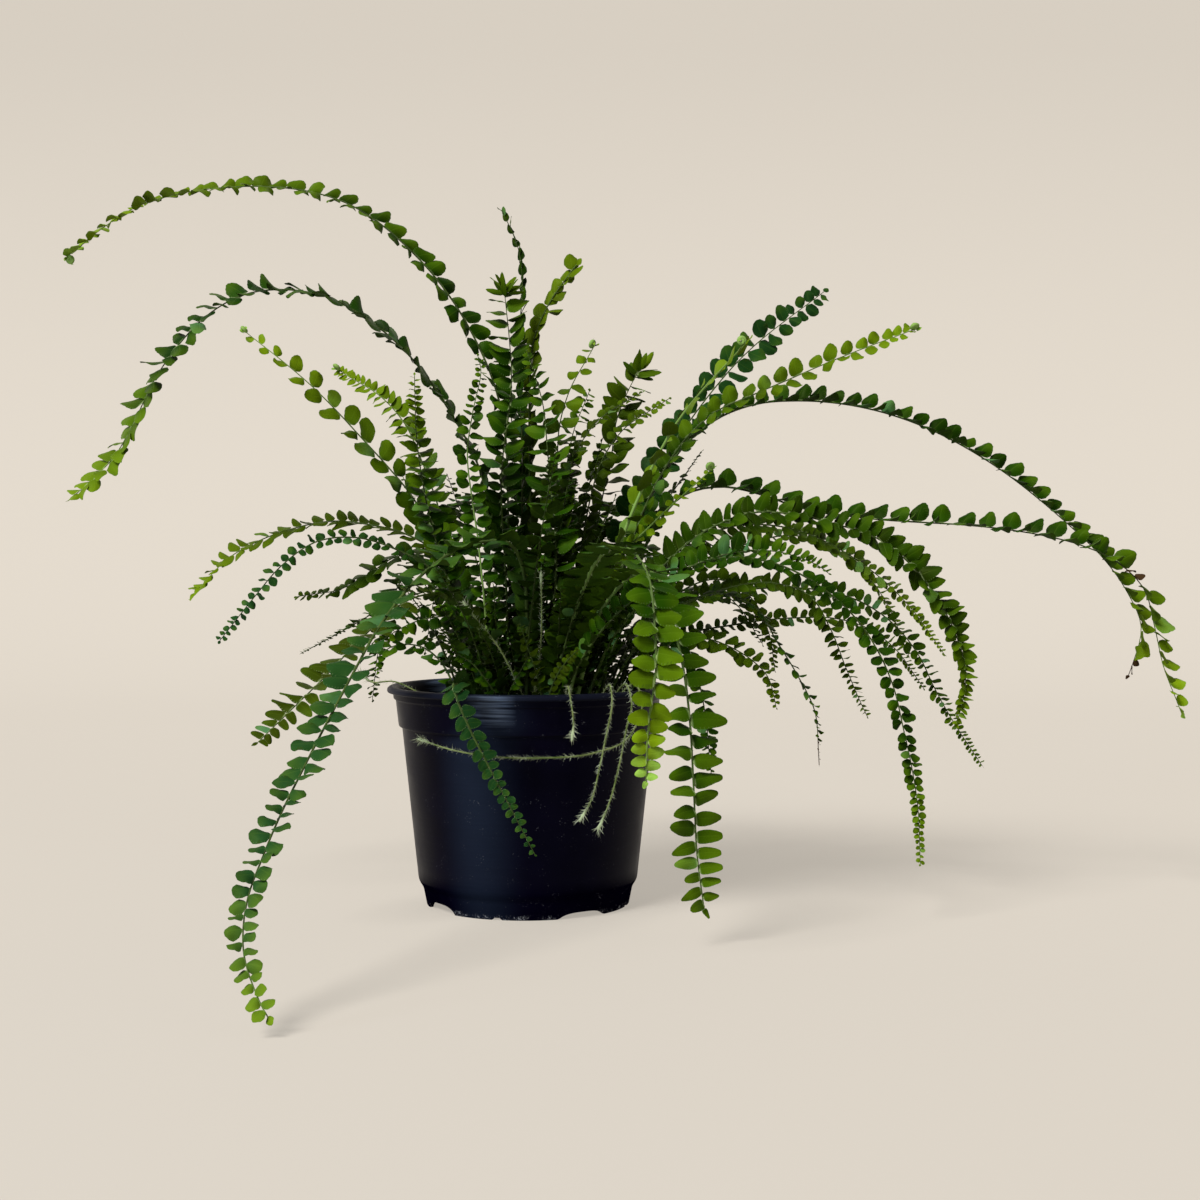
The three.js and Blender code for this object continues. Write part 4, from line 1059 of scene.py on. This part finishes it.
def guideOf(name, stems, look):
    shape = stemShape
    blocks, edges, count = [], [], 0
    for stem in stems:
        rows = stemRows(stem, look)
        if look["curl"]:
            rows = addCrozier(rows, look["curl"])
        blocks.append(rows)
        edges += [(count + i, count + i + 1) for i in range(len(rows["size"]) - 1)]
        count += len(rows["size"])
    rows = {key: np.concatenate([block[key] for block in blocks]) for key in blocks[0]}
    share, coil = rows.pop("share"), rows.pop("coil")
    for key in ("cool", "young"):
        foot, tip, power = look[key]
        rows[key] = foot + (tip - foot) * share ** power
    start, end = look["wither"]
    rows["young"] = rows["young"] + shape["coilYoung"] * coil
    rows["wither"] = ((share > start) & (share < end)).astype(float)
    rows["size"] = rows["size"] * (1 - shape["witherShrink"] * rows["wither"])
    rows["pale"] = look["pale"] * np.clip(shape["paleReach"] - share, 0.0, 1.0) + shape["coilPale"] * coil
    for key in ("shade", "olive", "tilt", "lap", "dotted"):
        rows[key] = np.full(len(share), float(look[key]))
    mesh = meshFrom(name, rows.pop("position"), edges)
    for key, values in rows.items():
        setAttribute(mesh, key, values)
    return mesh


def leafy(name, stems, look, seed):
    return grown(name, guideOf(name + "_stems", stems, look), trees["leafyStem"], {
        "Leaflets": leaflets[look["leaflets"]], "Variants": leafletKinds[look["leaflets"]]["variants"],
        "Twist": math.radians(look["twist"]), "Lift": math.radians(look["lift"]),
        "Lean": math.radians(look["lean"]), "Seed": seed,
        "Hair Density": stemShape["hairs"], "Hair Length": stemShape["hairLength"],
        "Leaf Material": materials["leaf"], "Stem Material": materials["stem"],
        "Hair Material": materials["hair"]})


tuftMembers = {"tuft_front_left": 3, "tuft_front_middle": 3, "tuft_middle_right": 2}
crested = {"frond_top_bushy": 12.0, "frond_middle_crested": 14.0}    # length of the crest's lobes
crestSize = {"stations": 6, "fold": 0.25, "seed": 83}
crestLook = dict(
    plainFrond, leaflets="lobe", pitch=0.075, footSize=0.7, tipSize=0.7, tilt=0.2, shade=0.6, olive=0.25,
    young=(0.1, 0.5, 2), girth=0.3, forward=0.75, twist=60, lift=42, lean=50)


# The last few millimetres of a stem, as a stem of their own
def tipOf(stem, lobe):
    tip = {key: stem[key][-crestSize["stations"]:] for key in ("path", "along", "side")}
    return {**tip, "arc": arcLengths(tip["path"]), "leaf": lobe * millimetre, "fold": crestSize["fold"],
            "start": 0.0}


frondNames = sorted(n for n in frame["nodes"] if n.startswith(("frond", "tuft")))
crestStems = []
for seed, name in enumerate(frondNames, 11):
    stems = stemsOf(name, tuftMembers.get(name, 1))
    frond = leafy(name + "_foliage", stems, {**plainFrond, **frondLooks.get(name, {})}, seed)
    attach(frond, "root")
    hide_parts(name)
    if name in crested:
        crestStems.append(tipOf(stems[0], crested[name]))
crest = leafy("crested_tips", crestStems, crestLook, crestSize["seed"])
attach(crest, "root")
print("fronds", len(frondNames))


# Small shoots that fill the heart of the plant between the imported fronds, in millimetres and degrees

shootSize = {
    "innerRadius": 8, "outerRadius": 46, "crowding": 0.8,    # where they stand, and how evenly
    "foot": 106, "seed": 31, "lookSeed": 97,
    "leastSlope": 4, "outerSlope": 18,    # how far they lean at least, and more at the outside
    "stray": 0.5,            # how far they lean off the way outwards, radians
    "knots": (0.0, 0.3, 0.65, 1.0), "bow": (0.4, 0.7),
    "fold": 0.2, "blade": 0.12,
}
shootKinds = (
    {"count": 32, "shortest": 45, "longest": 120, "leaf": 7.5, "slope": 22, "spread": 0.9},
    {"count": 8, "shortest": 130, "longest": 185, "leaf": 10.5, "slope": 9, "spread": 0.7},
)
# The shoots' shade below 0 is painted shade: the heart of the plant gets darker greens where little light
# reaches
shootLook = dict(plainFrond, leaflets="bud", pitch=0.78, shade=-0.08, young=(0.0, 0.15, 3), twist=35)


def shootStem(rng, kind):
    size = shootSize
    around = rng.uniform(0, 2 * math.pi)
    reach = (size["outerRadius"] - size["innerRadius"]) * kind["spread"]
    away = size["innerRadius"] + reach * rng.uniform() ** size["crowding"]
    length = rng.uniform(kind["shortest"], kind["longest"])
    slope = rng.uniform(size["leastSlope"], kind["slope"]) + size["outerSlope"] * away / size["outerRadius"]
    slope = math.radians(slope)
    heading = around + rng.uniform(-size["stray"], size["stray"])
    outward = np.array((math.cos(heading), math.sin(heading), 0.0))
    foot = np.array((away * math.cos(around), away * math.sin(around), size["foot"]))
    knots = []
    for t in size["knots"]:
        lean = slope * (size["bow"][0] + size["bow"][1] * t)
        knots.append(foot + t * length * (outward * math.sin(lean) + np.array((0, 0, math.cos(lean)))))
    path, _ = smoothPath(np.array(knots) * millimetre, reading["step"])
    along = unit(np.gradient(path, axis=0))
    side = unit(np.cross(along, outward) + 1e-6)
    if np.cross(along, side)[-1] @ lightFrom < 0:
        side = -side
    arc = arcLengths(path)
    return {"path": path, "along": along, "side": side, "arc": arc, "leaf": kind["leaf"] * millimetre,
            "fold": size["fold"], "start": size["blade"] * arc[-1]}


def buildShoots():
    rng = np.random.default_rng(shootSize["seed"])
    stems = [shootStem(rng, kind) for kind in shootKinds for _ in range(kind["count"])]
    shoots = leafy("heart_shoots", stems, shootLook, shootSize["lookSeed"])
    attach(shoots, "root")


buildShoots()


# Runners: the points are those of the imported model, in millimetres

runnerSize = {
    "radius": 0.46, "tipRadius": 0.38, "thinning": 40, "step": 1.5, "foot": 104.0, "clear": 116.0,
    "seed": 71, "hairs": 1200000.0, "hairLength": 2.5,
    "knotRadius": 0.9, "knotLength": 5.0, "knotBack": 2,    # the fuzzy pale bud near each end
    "knotFuzz": 0.8, "knotPale": 1.5,
    "blunt": (0.7, 0.3),     # how narrow the last two stations are
}
runners = {
    "runners_front_right": {"root": (44, -36), "branches": [
        [(54, -46, 126), (62, -55, 132.5), (66, -59, 122), (62, -55, 108), (55, -61, 100), (42, -70, 96),
         (29, -76, 94), (-12, -81, 94), (-38, -73, 97), (-60, -57, 102)],
        [(51, -49, 126), (57, -61, 132.5), (60, -66, 122), (57, -67, 108), (53, -68, 88), (48, -70, 69),
         (41, -72, 52)],
        [(44, -54, 126), (48, -69, 132.5), (49, -73, 122), (46, -74, 106), (42, -75, 87), (38, -76, 71),
         (31, -77, 58)]]},
    "runner_front_stub": {"root": (23, -52), "branches": [
        [(24, -65, 125), (25, -79, 132.5), (27, -84, 122), (28, -84, 112), (27, -84, 103)]]},
    "runner_left_rim": {"root": (-46, -14), "branches": [
        [(-62, -15, 124), (-77, -16, 131), (-90, -18, 131), (-97, -19, 137)]]},
    "runner_erect_left": {"root": (2, -52), "branches": [
        [(-13, -57, 151), (-26, -59, 168), (-34, -60, 179)]]},
    "runner_erect_middle": {"root": (4, -37), "branches": [[(9, -41, 156), (9, -42, 196)]]},
}


def runnerGuide(name, route):
    size = runnerSize
    rows = {"position": [], "along": [], "girth": [], "fuzz": [], "pale": []}
    edges = []
    for branch in route["branches"]:
        root = [(*route["root"], size["foot"]), (*route["root"], size["clear"])]
        path, _ = smoothPath(np.array(root + branch, float), size["step"])
        arc = arcLengths(path)
        left = arc[-1] - arc
        knot = np.exp(-((left - size["knotBack"]) / size["knotLength"]) ** 2)
        wide = size["radius"] - size["tipRadius"]
        girth = size["tipRadius"] + wide * np.clip(left / size["thinning"], 0, 1)
        girth = girth + knot * (size["knotRadius"] - size["tipRadius"])
        girth[-2:] *= size["blunt"]
        count = len(rows["girth"])
        edges += [(count + i, count + i + 1) for i in range(len(path) - 1)]
        rows["position"] += list(path * millimetre)
        rows["along"] += list(unit(np.gradient(path, axis=0)))
        rows["girth"] += list(girth * millimetre)
        rows["fuzz"] += list(knot * size["knotFuzz"])
        rows["pale"] += list(np.clip(knot * size["knotPale"], 0, 1))
    mesh = meshFrom(name, rows.pop("position"), edges)
    for key, values in rows.items():
        setAttribute(mesh, key, values)
    return mesh


for seed, (name, route) in enumerate(runners.items(), runnerSize["seed"]):
    runner = grown(name + "_hairy", runnerGuide(name, route), trees["runner"], {
        "Seed": seed, "Hair Density": runnerSize["hairs"],
        "Hair Length": runnerSize["hairLength"] * millimetre,
        "Stem Material": materials["runner"], "Hair Material": materials["hair"]})
    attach(runner, "root")
    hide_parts(name)
print("runners", len(runners))


# Pot: one turned wall with a rolled lip, a collar, a step, a foot ring with arches, and a closed floor

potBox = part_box("pot")
potSize = {                  # millimetres and degrees
    "sides": 240, "height": potBox[1].z / millimetre, "lipRadius": potBox[1].x / millimetre,
    "lipHeight": 3.5, "collarTop": 77.7, "collarFoot": 75.8, "collarFootZ": 105.0,
    "bodyTop": 73.8, "bodyFoot": 64.3, "bodyFootZ": 14.6, "footTop": 61.6, "footTopZ": 10.4,
    "foot": 59.5, "footWall": 2.4, "wall": 1.6, "floor": 6.0, "floorThickness": 2.5, "pad": 9.0,
    "liftBelow": 1.2, "liftBeyond": 14.0,    # the foot ring's lowest corners, that the arches lift
    "archAngles": (-57, 34, 123, 214), "archHalfWidth": 15.0, "archHeights": (4.6, 3.2, 4.0, 4.0),
    "notchAngles": (-15, 75, 165, 255), "notchHalfWidth": 3.0, "notchHeight": 1.2,
}


# Corners (radius, height, rounding) become a profile with each corner turned as a small arc
def roundedProfile(corners, steps=4):
    points = []
    for i, (r, z, rounding) in enumerate(corners):
        here = np.array((r, z), float)
        if rounding == 0 or i in (0, len(corners) - 1):
            points.append(here)
            continue
        before, after = np.array(corners[i - 1][:2], float), np.array(corners[i + 1][:2], float)
        cut = min(rounding, 0.45 * np.linalg.norm(before - here), 0.45 * np.linalg.norm(after - here))
        start = here + unit(before - here) * cut
        end = here + unit(after - here) * cut
        for t in np.linspace(0, 1, steps):
            points.append((1 - t) ** 2 * start + 2 * t * (1 - t) * here + t * t * end)
    return points


def footLift(angle, r, z):
    lift = 0.0
    if z >= potSize["liftBelow"] or r <= potSize["liftBeyond"]:
        return lift
    for centre, height in zip(potSize["archAngles"], potSize["archHeights"]):
        away = abs((angle - centre + 180) % 360 - 180) / potSize["archHalfWidth"]
        if away < 1:
            lift = max(lift, height * (1 - away ** 3) ** 0.8)
    for centre in potSize["notchAngles"]:
        away = abs((angle - centre + 180) % 360 - 180) * math.pi / 180 * potSize["foot"]
        if away < potSize["notchHalfWidth"]:
            lift = max(lift, potSize["notchHeight"])
    return lift


def potProfile():
    p = potSize
    lip, top, lipFoot = p["lipRadius"], p["height"], p["height"] - p["lipHeight"]
    rim, ledge, ledgeZ = p["collarTop"], p["collarFoot"], p["collarFootZ"]
    body, base, wall = p["bodyTop"], p["bodyFoot"], p["wall"]
    inner, floor, floorTop = p["foot"] - p["footWall"], p["floor"], p["floor"] + p["floorThickness"]
    return roundedProfile([
        (0, 0, 0), (p["pad"], 0, 0.6), (p["pad"] + 1, floor, 0.6), (inner, floor, 0.3), (inner, 0, 0.5),
        (p["foot"], 0, 0.5), (p["footTop"], p["footTopZ"], 1.5), (base, p["bodyFootZ"], 2.0),
        (body, ledgeZ - 0.8, 0.5), (ledge - 0.2, ledgeZ - 0.3, 0.5), (ledge + 0.1, ledgeZ + 0.8, 0.6),
        (rim - 0.2, lipFoot - 4.4, 0.5), (rim + 1.1, lipFoot - 3.6, 0.5), (rim + 1.4, lipFoot - 0.3, 0.5),
        (lip - 0.5, lipFoot, 0.8), (lip, lipFoot + 0.6, 0.6), (lip, top - 1.3, 1.2), (lip - 1.4, top, 1.2),
        (rim + 0.4, top, 1.2), (rim - 1.2, top - 2.5, 1.0), (ledge - wall, ledgeZ + 2, 1.0),
        (body - wall, ledgeZ - 2, 1.0), (base - wall, floorTop + 3, 2.5),
        (base - wall - 3, floorTop, 2.0), (0, floorTop, 0)])


def turned(name, profile, sides, lift=None):
    vertices, faces, rings = [], [], []
    for r, z in profile:
        if r < 1e-6:
            vertices.append((0, 0, z * millimetre))
            rings.append([len(vertices) - 1] * sides)
            continue
        ring = []
        for i in range(sides):
            angle = 360 * i / sides
            raised = z + (lift(angle, r, z) if lift else 0)
            turn = math.radians(angle - 90)
            ring.append(len(vertices))
            vertices.append((r * math.cos(turn) * millimetre, r * math.sin(turn) * millimetre,
                             raised * millimetre))
        rings.append(ring)
    for below, above in zip(rings[:-1], rings[1:]):
        for i in range(sides):
            j = (i + 1) % sides
            corners = [below[i], below[j], above[j], above[i]]
            faces.append([c for k, c in enumerate(corners) if c not in corners[:k]])
    return meshFrom(name, vertices, (), faces)


def buildPot():
    mesh = turned("pot", potProfile(), potSize["sides"], footLift)
    mesh.materials.append(materials["pot"])
    pot = linked("pot_moulded", mesh)
    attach(pot, "root")
    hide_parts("pot")


# Soil: a crowned, lumpy top with crumbs and bark on it, and a plain skirt inside the pot

soilSize = {                 # millimetres
    "sides": 120, "rings": 34, "crown": 3.5, "skirt": 0.6, "wallGap": 0.15,
    "lumps": ((1.1, 0.09, 2.0), (0.5, 0.33, 7.0)),    # height, scale and cut of the noise
    "crumbs": 110000.0, "crumbSize": 2.6, "crumbRough": 0.45, "seed": 5,
    "crumbShapes": ((1, 1, 0.8), (1.5, 0.7, 0.5), (0.9, 0.9, 0.9), (2.4, 0.45, 0.3)),
}


def soilTop(x, y, radius):
    share = min(1.0, math.hypot(x, y) / radius)
    level = soilSize["crown"] * (1 - share * share)
    for height, scale, cut in soilSize["lumps"]:
        level += height * noise.noise(Vector((x * scale, y * scale, cut)))
    return level


def crumbCollection():
    collection = newCollection("soilCrumbs")
    for variant, stretch in enumerate(soilSize["crumbShapes"]):
        lump = bmesh.new()
        bmesh.ops.create_icosphere(lump, subdivisions=1, radius=0.5)
        for v in lump.verts:
            push = 1 + soilSize["crumbRough"] * noise.noise(v.co * 3 + Vector((variant * 5.0, 0, 0)))
            v.co = Vector((v.co.x * stretch[0], v.co.y * stretch[1], v.co.z * stretch[2])) * push
        mesh = bpy.data.meshes.new(f"crumb_{variant}")
        lump.to_mesh(mesh)
        lump.free()
        collection.objects.link(bpy.data.objects.new(mesh.name, mesh))
    return collection


def buildSoil(crumbs):
    low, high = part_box("soil")
    floor = low.z / millimetre
    radius = (high.x - low.x) / 2 / millimetre + soilSize["wallGap"]
    edge = high.z / millimetre - soilSize["crown"] - soilSize["skirt"]
    foot = radius * potSize["bodyFoot"] / potSize["bodyTop"]
    profile = [(0, floor), (foot - 2, floor), (radius, edge - 0.5)]
    profile += [(radius * (1 - i / soilSize["rings"]), edge) for i in range(soilSize["rings"] + 1)]
    mesh = turned("soil", profile, soilSize["sides"])
    for vertex in mesh.vertices:
        if vertex.co.z > (edge - 0.1) * millimetre:
            x, y = vertex.co.x / millimetre, vertex.co.y / millimetre
            vertex.co.z += soilTop(x, y, radius) * millimetre
    soil = grown("soil_surface", mesh, trees["crumbs"], {
        "Crumbs": crumbs, "Variants": len(crumbs.objects), "Density": soilSize["crumbs"],
        "Size": soilSize["crumbSize"] * millimetre, "Seed": soilSize["seed"],
        "Material": materials["soil"]})
    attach(soil, "root")
    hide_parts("soil")


crumbs = crumbCollection()
buildPot()
buildSoil(crumbs)
for collection in (*leaflets.values(), crumbs):
    for helper in list(collection.objects):
        bpy.data.objects.remove(helper)
    bpy.data.collections.remove(collection)
print("pot and soil")


# Studio: floor, backdrop, lights and camera

studio = {
    "camera": (0.0424, -1.10, 0.2045), "pitchDown": 1.38, "lens": 56.1, "sensor": 36.0,
    "paper": (0.200, 0.184, 0.162, 1), "paperGlow": (0.730, 0.672, 0.591, 1), "glowStrength": 0.56,
    "paperClouds": 30.0, "paperDim": 0.985,
    "backdropY": 2.6, "bendRadius": 1.2, "bendSteps": 24, "halfWidth": 5.0, "frontY": -3.5, "height": 4.0,
    "worldColour": (0.97, 0.96, 0.95, 1), "worldStrength": 0.25,
    "sunStrength": 5.0, "sunAngle": 24.0, "sunColour": (1.0, 0.98, 0.95),
}
studioLights = {
    "window": {"place": (-1.10, -1.20, 0.34), "aim": (0.0, 0.0, 0.1), "size": 0.36, "power": 8.0,
               "colour": (0.66, 0.82, 1.0)},
    "fill": {"place": (1.6, -1.5, 1.0), "aim": (0.1, 0.0, 0.2), "size": 1.4, "power": 6.0,
             "colour": (1.0, 0.95, 0.88)},
}


def buildBackdrop():
    s = studio
    bend, wall, wide = s["bendRadius"], s["backdropY"], s["halfWidth"]
    line = [(s["frontY"], 0.0), (wall - bend, 0.0)]
    line += [(wall - bend + bend * math.sin(a), bend - bend * math.cos(a))
             for a in np.linspace(0, math.pi / 2, s["bendSteps"] + 1)[1:]]
    line.append((wall, s["height"]))
    vertices = [(x, y, z) for y, z in line for x in (-wide, wide)]
    faces = [(2 * i, 2 * i + 1, 2 * i + 3, 2 * i + 2) for i in range(len(line) - 1)]
    mesh = meshFrom("backdrop", vertices, (), faces)
    material, tree, shader = newMaterial("palePaper", {
        "Roughness": 0.9, "Specular IOR Level": 0.1,
        "Emission Color": s["paperGlow"], "Emission Strength": s["glowStrength"]})
    _, cloud = speckles(tree, s["paperClouds"], 0.0)
    dim = tuple(s["paperDim"] * c for c in s["paper"][:3]) + (1,)
    tree.links.new(blend(tree, cloud, dim, s["paper"]), shader["Base Color"])
    mesh.materials.append(material)
    backdrop = linked("backdrop", mesh)


def buildLights():
    world = bpy.data.worlds.new("softRoom")
    world.use_nodes = True
    background = world.node_tree.nodes["Background"].inputs
    background["Color"].default_value = studio["worldColour"]
    background["Strength"].default_value = studio["worldStrength"]
    scene.world = world
    sun = linked("sun", bpy.data.lights.new("sun", "SUN"))
    sun.data.energy = studio["sunStrength"]
    sun.data.angle = math.radians(studio["sunAngle"])
    sun.data.color = studio["sunColour"]
    sun.rotation_euler = (-Vector(lightFrom)).to_track_quat("-Z", "Y").to_euler()
    for name, light in studioLights.items():
        data = bpy.data.lights.new(name, "AREA")
        data.shape = "DISK"
        data.size = light["size"]
        data.energy = light["power"]
        data.color = light["colour"]
        obj = linked(name, data)
        obj.location = light["place"]
        towards = Vector(light["aim"]) - Vector(light["place"])
        obj.rotation_euler = towards.to_track_quat("-Z", "Y").to_euler()


def buildCamera():
    data = bpy.data.cameras.new("view")
    data.lens = studio["lens"]
    data.sensor_width = studio["sensor"]
    camera = linked("view", data)
    camera.location = studio["camera"]
    camera.rotation_euler = (math.radians(90 - studio["pitchDown"]), 0, 0)
    scene.camera = camera


buildBackdrop()
buildLights()
buildCamera()
scene.view_settings.view_transform = "Standard"
scene.view_settings.look = "None"
